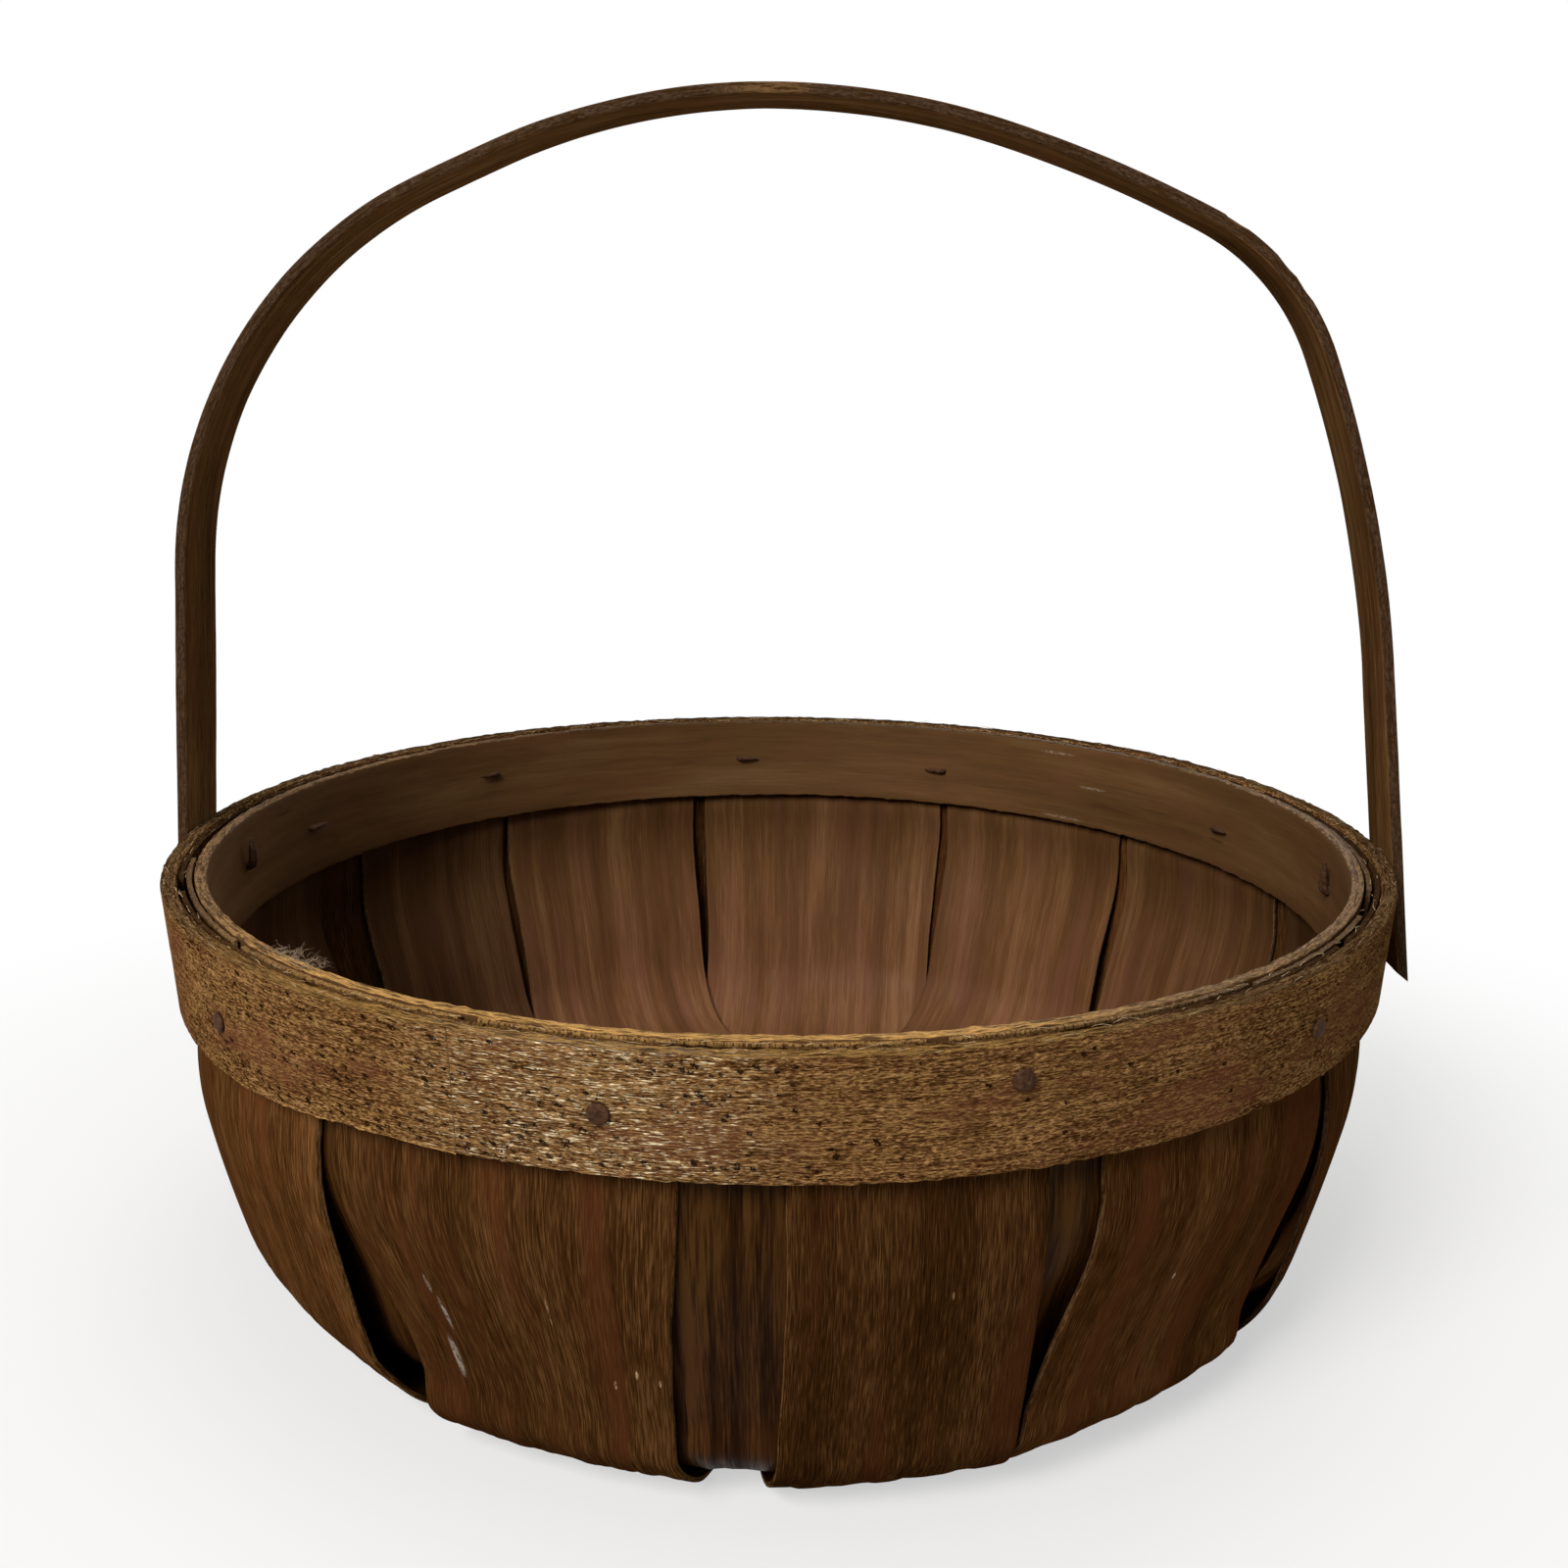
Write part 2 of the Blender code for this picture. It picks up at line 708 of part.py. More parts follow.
def main():
    """Build the whole basket."""
    for obj in list(bpy.data.objects):
        bpy.data.objects.remove(obj, do_unlink=True)

    hoop_wood = make_material("hoop_wood", (0.145, 0.078, 0.032), 0.62)
    lining_wood = make_material("lining_wood", (0.082, 0.044, 0.021), 0.58)
    splint_wood = make_material("splint_wood", (0.060, 0.029, 0.013), 0.60)
    handle_wood = make_material("handle_wood", (0.040, 0.018, 0.008), 0.50)
    iron = make_material("rusted_iron", (0.105, 0.050, 0.028), 0.75, 0.6)

    pierced = [
        build_hoop(
            "outer_hoop", OUTER_HOOP_INSIDE, OUTER_HOOP_WALL,
            OUTER_LAP_END, 1.0, hoop_wood, HOOP_EXTRA_DEPTH,
        ),
        build_hoop(
            "inner_hoop", INNER_HOOP_OUTSIDE, INNER_HOOP_WALL,
            INNER_LAP_END, -1.0, lining_wood,
        ),
    ]
    for order, plan in enumerate(OUTER_SPLINTS):
        name = f"wall_splint_{order + 1}"
        pierced.append(build_splint(name, plan, order, order // 3, False, splint_wood))
    first = len(OUTER_SPLINTS)
    for index, plan in enumerate(INNER_SPLINTS):
        name = f"lining_splint_{index + 1}"
        order = first + index
        pierced.append(build_splint(name, plan, order, order // 3, True, lining_wood))

    drills = []
    tack_head = (TACK_HEAD_DIAMETER / 2.0, TACK_HEAD_THICK)
    tack_shank = TACK_SHANK_DIAMETER / 2.0
    for index, (bearing, seat, inward, length) in enumerate(tack_layout()):
        way = 1.0 if index % 2 else -1.0
        fold = across_vector(bearing) * way
        stations = clinched_stations(
            seat, inward, length, tack_head, tack_shank, TACK_CLINCH, fold
        )
        sweep_round(f"tack_{index + 1}", stations, iron)
        drills.append((seat, inward, 4.0, length + 4.0, tack_shank + SEAT_GAP))

    nail_head = (NAIL_HEAD_DIAMETER / 2.0, NAIL_HEAD_THICK)
    nail_shank = NAIL_SHANK_DIAMETER / 2.0
    nail_drills = []
    for name, seat, inward, length in nail_layout():
        fold = Vector((0.0, 0.0, 1.0))
        stations = clinched_stations(
            seat, inward, length, nail_head, nail_shank, NAIL_CLINCH, fold
        )
        sweep_round(name, stations, iron)
        nail_drills.append((seat, inward, 4.0, length + 4.0, nail_shank + SEAT_GAP))

    handle = build_handle(handle_wood)
    nail_cutter = build_cutter("nail_drills", nail_drills, iron)
    cut_with(handle, nail_cutter)
    drills.extend(nail_drills)
    cutter = build_cutter("rim_drills", drills, iron)
    for obj in pierced:
        cut_with(obj, cutter)


main()
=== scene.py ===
"""Dressed model of an old splint gathering basket with a swinging handle.

Every strip is swept by Geometry Nodes along the path of its CAD solid, with
the unevenness of split wood.  Lengths in the classes are millimetres and turn
into metres where a mesh or a tree is made.  Bearings are degrees from the
front, positive towards the right side.
"""
import logging
import math
from dataclasses import dataclass, field
from enum import Enum
from functools import partial, reduce
from typing import Any, Sequence, Union

import bpy
import numpy as np
from mathutils import Euler, Matrix, Vector


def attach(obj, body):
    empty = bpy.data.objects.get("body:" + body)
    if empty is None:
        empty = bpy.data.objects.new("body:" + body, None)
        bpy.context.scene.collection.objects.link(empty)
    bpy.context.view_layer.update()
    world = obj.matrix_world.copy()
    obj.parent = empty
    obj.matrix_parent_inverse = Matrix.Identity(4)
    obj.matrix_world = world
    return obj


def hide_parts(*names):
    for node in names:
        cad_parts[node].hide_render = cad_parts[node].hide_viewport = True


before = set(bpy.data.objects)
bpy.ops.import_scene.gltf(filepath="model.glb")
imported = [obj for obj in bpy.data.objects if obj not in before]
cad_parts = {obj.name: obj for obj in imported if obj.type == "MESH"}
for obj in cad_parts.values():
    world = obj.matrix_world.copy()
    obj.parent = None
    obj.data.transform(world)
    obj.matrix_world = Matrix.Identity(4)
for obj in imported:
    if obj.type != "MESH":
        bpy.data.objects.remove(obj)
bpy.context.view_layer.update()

LOG = logging.getLogger("gathering_basket")
MM = 0.001
TINY = 1e-9
UP = Vector((0.0, 0.0, 1.0))
# Shift of the noise between one piece and the next
PIECE_STEP = 3.7
Number = Union["Value", float]
Colour = tuple[float, float, float]
Row = tuple[float, float, float]


class Body(Enum):
    """Bodies of the frame that a piece can ride on."""

    BASKET = "basket"
    HANDLE = "handle_strip"


class Layer(Enum):
    """The two layers of splints, named by where they show."""

    WALL = "wall_splint"
    LINING = "lining_splint"


class Turning(Enum):
    """How a swept profile is held upright along its path."""

    LEVEL = "Z_UP"
    FOLLOWING = "MINIMUM_TWIST"


class Value:
    """A socket of a node tree that takes part in sums like a number."""

    def __init__(self, graph: "Graph", socket: bpy.types.NodeSocket) -> None:
        """Wrap an output socket of a tree."""
        self.graph = graph
        self.socket = socket

    def __add__(self, other: Number) -> "Value":
        """Sum of two values."""
        return self.graph.math("ADD", self, other)

    def __sub__(self, other: Number) -> "Value":
        """Difference of two values."""
        return self.graph.math("SUBTRACT", self, other)

    def __rsub__(self, other: Number) -> "Value":
        """Difference with the number first."""
        return self.graph.math("SUBTRACT", other, self)

    def __mul__(self, other: Number) -> "Value":
        """Product of two values."""
        return self.graph.math("MULTIPLY", self, other)

    def __truediv__(self, other: Number) -> "Value":
        """Quotient of two values."""
        return self.graph.math("DIVIDE", self, other)

    def __rtruediv__(self, other: Number) -> "Value":
        """Quotient with the number first."""
        return self.graph.math("DIVIDE", other, self)

    def __neg__(self) -> "Value":
        """The value with its sign turned."""
        return self * -1.0

    __radd__ = __add__
    __rmul__ = __mul__

    def size(self) -> "Value":
        """The value without its sign."""
        return self.graph.math("ABSOLUTE", self)

    def ease(self, low: float, high: float) -> "Value":
        """Smooth step from 0 at low to 1 at high, which may lie below low."""
        reach = {"Value": self, "From Min": low, "From Max": high}
        return self.graph.node("ShaderNodeMapRange", {"interpolation_type": "SMOOTHSTEP"}, reach)


class Graph:
    """A shader or geometry tree that is filled with expressions."""

    def __init__(self, tree: bpy.types.NodeTree) -> None:
        """Start from a node tree."""
        self.tree = tree

    def node(
        self,
        kind: str,
        settings: dict[str, Any] | None = None,
        inputs: dict[Any, Any] | None = None,
        output: int | str = 0,
    ) -> Value:
        """Add any node.

        Args:
            kind: Blender's name of the node type.
            settings: Properties that are set first. "stops" are the places
                and colours of a ramp's stops.
            inputs: Values or links by socket name or place.
            output: The output that is handed back.

        Returns:
            The chosen output.
        """
        made = self.tree.nodes.new(kind)
        for name, setting in (settings or {}).items():
            if name == "stops":
                ramp = made.color_ramp.elements
                while len(ramp) < len(setting):
                    ramp.new(1.0)
                for stop, (place, colour) in zip(ramp, setting):
                    stop.position, stop.color = place, (*colour, 1.0)
            else:
                setattr(made, name, setting)
        self.feed(made.inputs, inputs or {})
        return Value(self, made.outputs[output])

    def feed(self, sockets: bpy.types.bpy_prop_collection, given: dict[Any, Any]) -> None:
        """Link or set input sockets.

        Args:
            sockets: All inputs of a node.
            given: Values or links by name or place. None leaves one as it is.
        """
        for name, value in given.items():
            socket = sockets[name]
            if isinstance(value, Value):
                self.tree.links.new(value.socket, socket)
            elif value is not None:
                opaque = socket.type == "RGBA" and len(value) == 3
                socket.default_value = (*value, 1.0) if opaque else value

    def math(self, operation: str, first: Number, second: Number | None = None) -> Value:
        """Add one Math node."""
        return self.node("ShaderNodeMath", {"operation": operation}, {0: first, 1: second})

    def vector_math(self, operation: str, first: Any, second: Any = None) -> Value:
        """Add one Vector Math node.

        Args:
            operation: Blender's name of the sum.
            first: The first vector.
            second: The second vector, or the number of a SCALE.

        Returns:
            The vector, or the number where the sum gives one.
        """
        output = "Value" if operation in ("DOT_PRODUCT", "LENGTH") else "Vector"
        inputs = {0: first, "Scale" if operation == "SCALE" else 1: second}
        return self.node("ShaderNodeVectorMath", {"operation": operation}, inputs, output)

    def scaled(self, vector: Any, number: Number) -> Value:
        """Vector times a number."""
        return self.vector_math("SCALE", vector, number)

    def vector(self, x: Number, y: Number, z: Number) -> Value:
        """Join three numbers to a vector."""
        return self.node("ShaderNodeCombineXYZ", None, {0: x, 1: y, 2: z})

    def part(self, vector: Value, axis: int) -> Value:
        """One component of a vector."""
        return self.node("ShaderNodeSeparateXYZ", None, {0: vector}, axis)

    def spot(self) -> Value:
        """Place on the object."""
        return self.node("ShaderNodeTexCoord", None, None, "Object")

    def noise(self, place: Value, detail: float = 2.0, rough: float = 0.5) -> Value:
        """Noise from 0 to 1 at a place that is already scaled to one unit a feature."""
        inputs = {"Vector": place, "Scale": 1.0, "Detail": detail, "Roughness": rough}
        return self.node("ShaderNodeTexNoise", None, inputs)

    def mix(self, share: Number, first: Any, second: Any, way: str = "MIX") -> Value:
        """Blend a share of the second colour into the first one."""
        settings = {"data_type": "RGBA", "blend_type": way}
        return self.node("ShaderNodeMix", settings, {0: share, 6: first, 7: second}, 2)

    def ramp(self, tone: Value, *stops: tuple[float, Colour]) -> Value:
        """Colour of a tone between the stops of a ramp."""
        return self.node("ShaderNodeValToRGB", {"stops": stops}, {"Fac": tone})

    def bump(self, strength: float, distance: float, height: Value) -> Value:
        """Normal of a surface with a height on it."""
        inputs = {"Strength": strength, "Distance": distance, "Height": height}
        return self.node("ShaderNodeBump", None, inputs)


class GeometryGraph(Graph):
    """A Geometry Nodes tree with named inputs."""

    def __init__(self, name: str, *sizes: str) -> None:
        """Make the tree and its inputs.

        Args:
            name: Name of the tree.
            sizes: Names of the number inputs, which are 0 unless they are set.
        """
        super().__init__(bpy.data.node_groups.new(name, "GeometryNodeTree"))
        self._socket("Path", "Geometry")
        for label in sizes:
            self._socket(label, "Float")
        self._socket("Finish", "Material")
        self._socket("Piece", "Geometry", "OUTPUT")
        self.entry = self.tree.nodes.new("NodeGroupInput")
        self.exit = self.tree.nodes.new("NodeGroupOutput")

    def _socket(self, name: str, kind: str, way: str = "INPUT") -> None:
        """Add one socket to the outside of the tree."""
        self.tree.interface.new_socket(name, in_out=way, socket_type=f"NodeSocket{kind}")

    def given(self, name: str) -> Value:
        """One named input of the tree."""
        return Value(self, self.entry.outputs[name])

    def named(self, name: str, kind: str = "FLOAT") -> Value:
        """A named attribute of the geometry."""
        return self.node("GeometryNodeInputNamedAttribute", {"data_type": kind}, {"Name": name})

    def place(self) -> Value:
        """Position of a point."""
        return self.node("GeometryNodeInputPosition")

    def line(self) -> Value:
        """The path as a curve."""
        return self.node("GeometryNodeMeshToCurve", None, {"Mesh": self.given("Path")})

    def ring(self, resolution: int, radius: Number) -> Value:
        """A round profile."""
        inputs = {"Resolution": resolution, "Radius": radius}
        return self.node("GeometryNodeCurvePrimitiveCircle", {"mode": "RADIUS"}, inputs)

    def swept(self, path: Value, profile: Value, girth: Value | None = None) -> Value:
        """Mesh of a profile along a path, with closed ends."""
        inputs = {"Curve": path, "Profile Curve": profile, "Scale": girth, "Fill Caps": True}
        return self.node("GeometryNodeCurveToMesh", None, inputs)

    def store(self, geometry: Value, **marks: Value) -> Value:
        """Keep numbers on every point.

        Args:
            geometry: What gets them.
            marks: The numbers by name.

        Returns:
            The marked geometry.
        """
        settings = {"data_type": "FLOAT", "domain": "POINT"}
        for name, number in marks.items():
            inputs = {"Geometry": geometry, "Name": name, "Value": number}
            geometry = self.node("GeometryNodeStoreNamedAttribute", settings, inputs)
        return geometry

    def shift(self, geometry: Value, *offsets: Value) -> Value:
        """Move every point by the sum of some offsets."""
        inputs = {"Geometry": geometry, "Offset": reduce(partial(self.vector_math, "ADD"), offsets)}
        return self.node("GeometryNodeSetPosition", None, inputs)

    def close(self, geometry: Value) -> None:
        """End the tree in real geometry with its finish on it.

        Args:
            geometry: The finished shape.
        """
        real = self.node("GeometryNodeRealizeInstances", None, {0: geometry})
        smooth = self.node("GeometryNodeSetShadeSmooth", None, {0: real})
        inputs = {"Geometry": smooth, "Material": self.given("Finish")}
        self.feed(self.exit.inputs, {0: self.node("GeometryNodeSetMaterial", None, inputs)})


def smooth_step(value: float, low: float, high: float) -> float:
    """Ease from 0 at low to 1 at high."""
    share = min(max((value - low) / (high - low), 0.0), 1.0)
    return share * share * (3.0 - 2.0 * share)


def swell(value: float, start: float, full: float, fading: float, end: float) -> float:
    """Ease from 0 up to 1 and down to 0 again."""
    return smooth_step(value, start, full) * (1.0 - smooth_step(value, fading, end))


def bearing_vector(bearing: float) -> Vector:
    """Level unit vector that points outward at a bearing in degrees."""
    angle = math.radians(bearing)
    return Vector((math.sin(angle), -math.cos(angle), 0.0))


def add_object(name: str, data: Any) -> bpy.types.Object:
    """Put a new object into the scene.

    Args:
        name: Its name.
        data: Its mesh, lamp or camera.

    Returns:
        The object.
    """
    obj = bpy.data.objects.new(name, data)
    bpy.context.scene.collection.objects.link(obj)
    return obj


def polyline(
    name: str, runs: Sequence[Sequence[Vector]], marks: dict[str, Sequence]
) -> bpy.types.Object:
    """Make open lines with numbers or vectors on their points.

    Args:
        name: Name of the object.
        runs: The points of each line in millimetres.
        marks: Named values, one to a point over all lines in turn.

    Returns:
        The object that carries the lines.
    """
    points: list[Vector] = []
    edges: list[tuple[int, int]] = []
    for run in runs:
        first = len(points)
        points.extend(point * MM for point in run)
        edges.extend((at, at + 1) for at in range(first, len(points) - 1))
    mesh = bpy.data.meshes.new(name)
    mesh.from_pydata(points, edges, [])
    for label, values in marks.items():
        rows = np.array(values, np.float32)
        kind, key = ("FLOAT_VECTOR", "vector") if rows.ndim == 2 else ("FLOAT", "value")
        mesh.attributes.new(label, kind, "POINT").data.foreach_set(key, rows.ravel())
    return add_object(name, mesh)


def path_marks(points: Sequence[Vector]) -> tuple[list[float], list[float]]:
    """Measure along a line.

    Args:
        points: Its points in millimetres.

    Returns:
        Distance along it and distance from its nearer end, in metres.
    """
    along = [0.0]
    for before, after in zip(points, points[1:]):
        along.append(along[-1] + (after - before).length * MM)
    return along, [min(part, along[-1] - part) for part in along]


def grow(
    obj: bpy.types.Object, graph: GeometryGraph, finish: bpy.types.Material, **sizes: float
) -> bpy.types.Object:
    """Run a tree on an object and keep the result as its plain mesh.

    Args:
        obj: The object that carries the path or points.
        graph: The tree.
        finish: The material.
        sizes: Values by the name of the tree's input, in small letters and
            with _ for a space.

    Returns:
        The same object with its new mesh, faces pointing outward.
    """
    modifier = obj.modifiers.new("shape", "NODES")
    modifier.node_group = graph.tree
    keys = {
        item.name: item.identifier
        for item in graph.tree.interface.items_tree
        if item.item_type == "SOCKET" and item.in_out == "INPUT"
    }
    modifier[keys["Finish"]] = finish
    for name, given in sizes.items():
        modifier[keys[name.replace("_", " ").title()]] = given
    depsgraph = bpy.context.evaluated_depsgraph_get()
    mesh = bpy.data.meshes.new_from_object(
        obj.evaluated_get(depsgraph), preserve_all_data_layers=True, depsgraph=depsgraph
    )
    obj.modifiers.clear()
    obj.data = mesh
    if signed_volume(mesh) < 0.0:
        mesh.flip_normals()
    return obj


def signed_volume(mesh: bpy.types.Mesh) -> float:
    """Measure a closed mesh.

    Args:
        mesh: The mesh.

    Returns:
        Its volume, below 0 when its faces point inward.
    """
    mesh.calc_loop_triangles()
    places = np.zeros(len(mesh.vertices) * 3)
    mesh.vertices.foreach_get("co", places)
    corners = np.zeros(len(mesh.loop_triangles) * 3, np.int32)
    mesh.loop_triangles.foreach_get("vertices", corners)
    a, b, c = places.reshape(-1, 3)[corners.reshape(-1, 3)].transpose(1, 0, 2)
    return float((a * np.cross(b, c)).sum() / 6.0)


def dress(obj: bpy.types.Object, body: Body, slot: str, *nodes: str) -> bpy.types.Object:
    """Let a piece ride on its body in place of its solids.

    Args:
        obj: The piece.
        body: What carries it.
        slot: The record's material slot; not used.
        nodes: The solids that it stands for.

    Returns:
        The piece.
    """
    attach(obj, body.value)
    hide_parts(*nodes)
    return obj


# Finishes.  A noise over the grain is the length and width of a feature in
# millimetres, a seed, and where it isn't plain its octaves and the strength
# of the finer ones.  The pairs say where a noise, the cosine of a bearing or
# a length in metres eases from 0 to 1.

STRIP_MARKS = ("along", "across", "through", "piece", "edge", "tip", "tone")
RED_SEED, PORE_SEED, SCUFF_SEED = 57.0, 81.0, 89.0
FLECK_NOISE = (3.4, 0.28, 61.0, 2.0, 0.7)
FLECK_AREA_NOISE = (18.0, 5.0, 65.0)
# Noise that picks the flecks with a painted highlight
HIGHLIGHT_NOISE = (1.6, 0.5, 63.0, 1.0)
RAGGED_NOISE = (3.0, 2.0, 69.0, 2.0, 0.6)
CRUMB_NOISE = (7.0, 0.5, 73.0, 3.0, 0.65)
GRIT_NOISE = (1.5, 0.6, 75.0, 2.0, 0.7)
PORE_WOBBLE_NOISE = (0.6, 0.5, 77.0, 1.0)
PORE_AREA_NOISE = (24.0, 8.0, 85.0, 1.0)
BACK_FACE = (-0.0001, 0.0003)
RED_PATCH = (0.48, 0.66)
# The last pair picks the flecks that take the painted highlight
FLECK_SHOWN, FLECK_AREA, HIGHLIGHT_SHOWN = (0.54, 0.62), (0.34, 0.52), (0.47, 0.62)
# Cosines from the lamp's bearing: painted highlight on flecks, painted light on the lit front of
# raw edges, and painted shade less deep at the sides than at the back
HIGHLIGHT_SIDE, LIT_FRONT_SIDE, NEAR_SIDES = (0.955, 0.997), (0.62, 0.97), (-0.95, -0.35)
PORE_SIDE, PORE_AREA, PORE_OFF_EDGE = (0.78, 0.96), (0.30, 0.62), (0.0005, 0.0012)
CRUMB_DARK = (0.51, 0.42)
WALL_HEIGHT = (0.02, 0.09)


@dataclass(frozen=True)
class Grain:
    """One size of streak in split wood.

    Length and width are in millimetres.  Strength is what it does to the
    tone and relief what it does to the surface.
    """

    length: float
    width: float
    strength: float
    relief: float = 0.0
    detail: float = 2.0


@dataclass(frozen=True)
class Pores:
    """Open pores: room of one pore in millimetres, size and how many show."""

    length: float = 2.7
    width: float = 1.6
    size: float = 0.33
    share: float = 0.38
    depth: float = 1.3
    bearing: float = -29.0
    # Colour of an open pore: partly its own dark, partly painted shade in the hole
    colour: Colour = (0.020, 0.0078, 0.0024)


@dataclass(frozen=True)
class Scuff:
    """A small mark on one strip, placed along and across it in millimetres."""

    piece: float
    along: float
    across: float
    length: float
    width: float
    colour: Colour
    strength: float = 0.8


class WoodGraph(Graph):
    """Shader tree of a strip, with coordinates that follow its grain."""

    def __init__(self, tree: bpy.types.NodeTree, wound: bool) -> None:
        """Read the place and the marks of the strip.

        Args:
            tree: The node tree to fill.
            wound: Whether the strip goes round the rim without a seam.
        """
        super().__init__(tree)
        self.wound = wound
        self.place = self.spot()
        self.strip = {name: self._mark(name) for name in STRIP_MARKS}

    def _mark(self, name: str) -> Value:
        """A number that the strip carries on its points."""
        settings = {"attribute_name": name, "attribute_type": "GEOMETRY"}
        return self.node("ShaderNodeAttribute", settings, None, "Fac")

    def at(self, length: float, width: float, seed: float) -> Value:
        """Coordinates with one feature to each length and width.

        Args:
            length: Length of a feature along the grain in millimetres.
            width: Its width.
            seed: Shift that sets one noise apart from another.

        Returns:
            The coordinates.
        """
        long, narrow = 1.0 / (length * MM), 1.0 / (width * MM)
        own = self.strip["piece"] * PIECE_STEP + seed
        across, through = self.strip["across"], self.strip["through"]
        if self.wound:
            x, y = self.part(self.place, 0), self.part(self.place, 1)
            return self.vector(x * long, y * long, (across + through) * narrow + own)
        return self.vector(self.strip["along"] * long, across * narrow, through * narrow + own)

    def grain(
        self, length: float, width: float, seed: float, detail: float = 2.0, rough: float = 0.5
    ) -> Value:
        """Noise whose features follow the grain."""
        return self.noise(self.at(length, width, seed), detail, rough)

    def facing(self, bearing: float) -> Value:
        """Tell how far a place faces a bearing.

        Args:
            bearing: The bearing in degrees.

        Returns:
            Cosine of the angle between the two.
        """
        flat = self.vector_math("MULTIPLY", self.place, (1.0, 1.0, 0.0))
        way = self.vector_math("NORMALIZE", flat)
        return self.vector_math("DOT_PRODUCT", way, tuple(bearing_vector(bearing)))


def start_material(name: str) -> tuple[bpy.types.Material, Any]:
    """Make a material with its usual shader.

    Args:
        name: Its name.

    Returns:
        The material and its shader.
    """
    made = bpy.data.materials.new(name)
    made.use_nodes = True
    return made, made.node_tree.nodes["Principled BSDF"]


@dataclass(frozen=True)
class WoodFinish:
    """Split wood whose grain runs along the strip.

    Raw widths are in millimetres.  The back is the outward face of a splint
    and the inward one of the handle.
    """

    name: str
    dark: Colour
    mid: Colour
    light: Colour
    red: Colour
    raw: Colour
    grains: tuple[Grain, ...]
    rough: float = 0.52
    red_share: float = 0.35
    red_length: float = 30.0
    red_width: float = 10.0
    raw_edge: float = 0.35
    raw_tip: float = 0.8
    raw_ragged: float = 0.5
    pores: Pores | None = None
    flecks: float = 0.0
    bump: float = 0.15
    bump_depth: float = 0.6
    specular: float = 0.0
    coat: float = 0.0
    coat_rough: float = 0.3
    # Bearing of the lamp's highlight on the rim, which the painted highlight and the painted light
    # on raw edges follow
    lit_front_bearing: float = -13.0
    # Factor on the back face: on the lining its darker colour and painted shade in the gaps between
    # wall splints, on the handle painted light
    back_colour_and_light: Colour | None = None
    back_grain: float = 1.0
    # Colour factors low and high on the wall: on the lining painted light low down and painted
    # shade high up
    low_painted_light: Colour = (1.0, 1.0, 1.0)
    high_painted_shade: Colour = (1.0, 1.0, 1.0)
    wound: bool = False
    # Colour of the painted highlight on the flecks
    painted_glint: Colour = (0.85, 0.68, 0.42)
    # Shaded copy of the raw colour, painted on raw edges turned from the lamp
    shaded_raw_share: Colour = (0.74, 0.78, 1.12)
    scuffs: tuple[Scuff, ...] = ()

    def material(self) -> bpy.types.Material:
        """Build the shader of this wood.

        Returns:
            The material.
        """
        made, shader = start_material(self.name)
        graph = WoodGraph(made.node_tree, self.wound)
        gloss = {"Specular IOR Level": self.specular, "Coat Roughness": self.coat_rough}
        graph.feed(shader.inputs, gloss)
        tone, height = self._streaks(graph)
        back = graph.strip["through"].ease(*BACK_FACE)
        if self.back_colour_and_light:
            tone = (tone - 0.5) * (back * (self.back_grain - 1.0) + 1.0) + 0.5
        colour = graph.ramp(tone, (0.05, self.dark), (0.5, self.mid), (0.95, self.light))
        patch = graph.grain(self.red_length, self.red_width, RED_SEED).ease(*RED_PATCH)
        colour = graph.mix(patch * self.red_share, colour, self.red)
        rough = self.rough + (tone - 0.5) * -0.25
        # Towards the lamp: painted highlight on the flecks, painted light on raw edges
        facing = graph.facing(self.lit_front_bearing)
        if self.flecks:
            colour, fleck, highlit = self._flecked(graph, facing, colour)
            height = height + fleck * 0.5
            graph.feed(shader.inputs, {"Coat Weight": highlit * self.coat})
        if self.pores:
            pit = self._pits(graph)
            # Open pores: partly their own dark colour, partly painted shade in the holes
            colour = graph.mix(pit, colour, self.pores.colour)
            height = height - pit * self.pores.depth
            rough = rough + pit * 0.3
        # Back face: darker colour and painted shade on the lining, painted light on the handle
        if self.back_colour_and_light:
            colour = graph.mix(back, colour, self.back_colour_and_light, "MULTIPLY")
        # Painted light by height, lighter low and darker high, times the piece's tone
        up = graph.part(graph.place, 2).ease(*WALL_HEIGHT)
        tint = graph.scaled(graph.mix(up, self.low_painted_light, self.high_painted_shade), graph.strip["tone"])
        colour = graph.mix(1.0, colour, tint, "MULTIPLY")
        cut, bare, rubble = self._raw_wood(graph, facing)
        colour = graph.mix(cut * 0.9, colour, bare)
        for scuff in self.scuffs:
            colour = self._scuffed(graph, colour, scuff)
        height = height + cut * (rubble - 1.0) * 2.0
        relief = graph.bump(self.bump, self.bump_depth * MM, height)
        rough = rough + cut * 0.2
        graph.feed(shader.inputs, {"Base Color": colour, "Roughness": rough, "Normal": relief})
        return made

    def _streaks(self, graph: WoodGraph) -> tuple[Value, Value]:
        """Lay all sizes of streak over each other.

        Args:
            graph: The tree.

        Returns:
            The tone, about 0.5, and the height.
        """
        tone, height = 0.5, 0.0
        for index, grain in enumerate(self.grains):
            streak = graph.grain(grain.length, grain.width, 5.0 * index, grain.detail, 0.6) - 0.5
            tone = tone + streak * grain.strength
            height = height + streak * grain.relief
        return tone, height

    def _flecked(
        self, graph: WoodGraph, facing: Value, colour: Value
    ) -> tuple[Value, Value, Value]:
        """Lay pale flecks over the wood; towards the lamp more of them show, with a painted
        highlight on some.

        Args:
            graph: The tree.
            facing: Cosine of the angle from the lamp's bearing.
            colour: The colour so far.

        Returns:
            The new colour, the flecks' mask and the mask of the flecks under the painted highlight.
        """
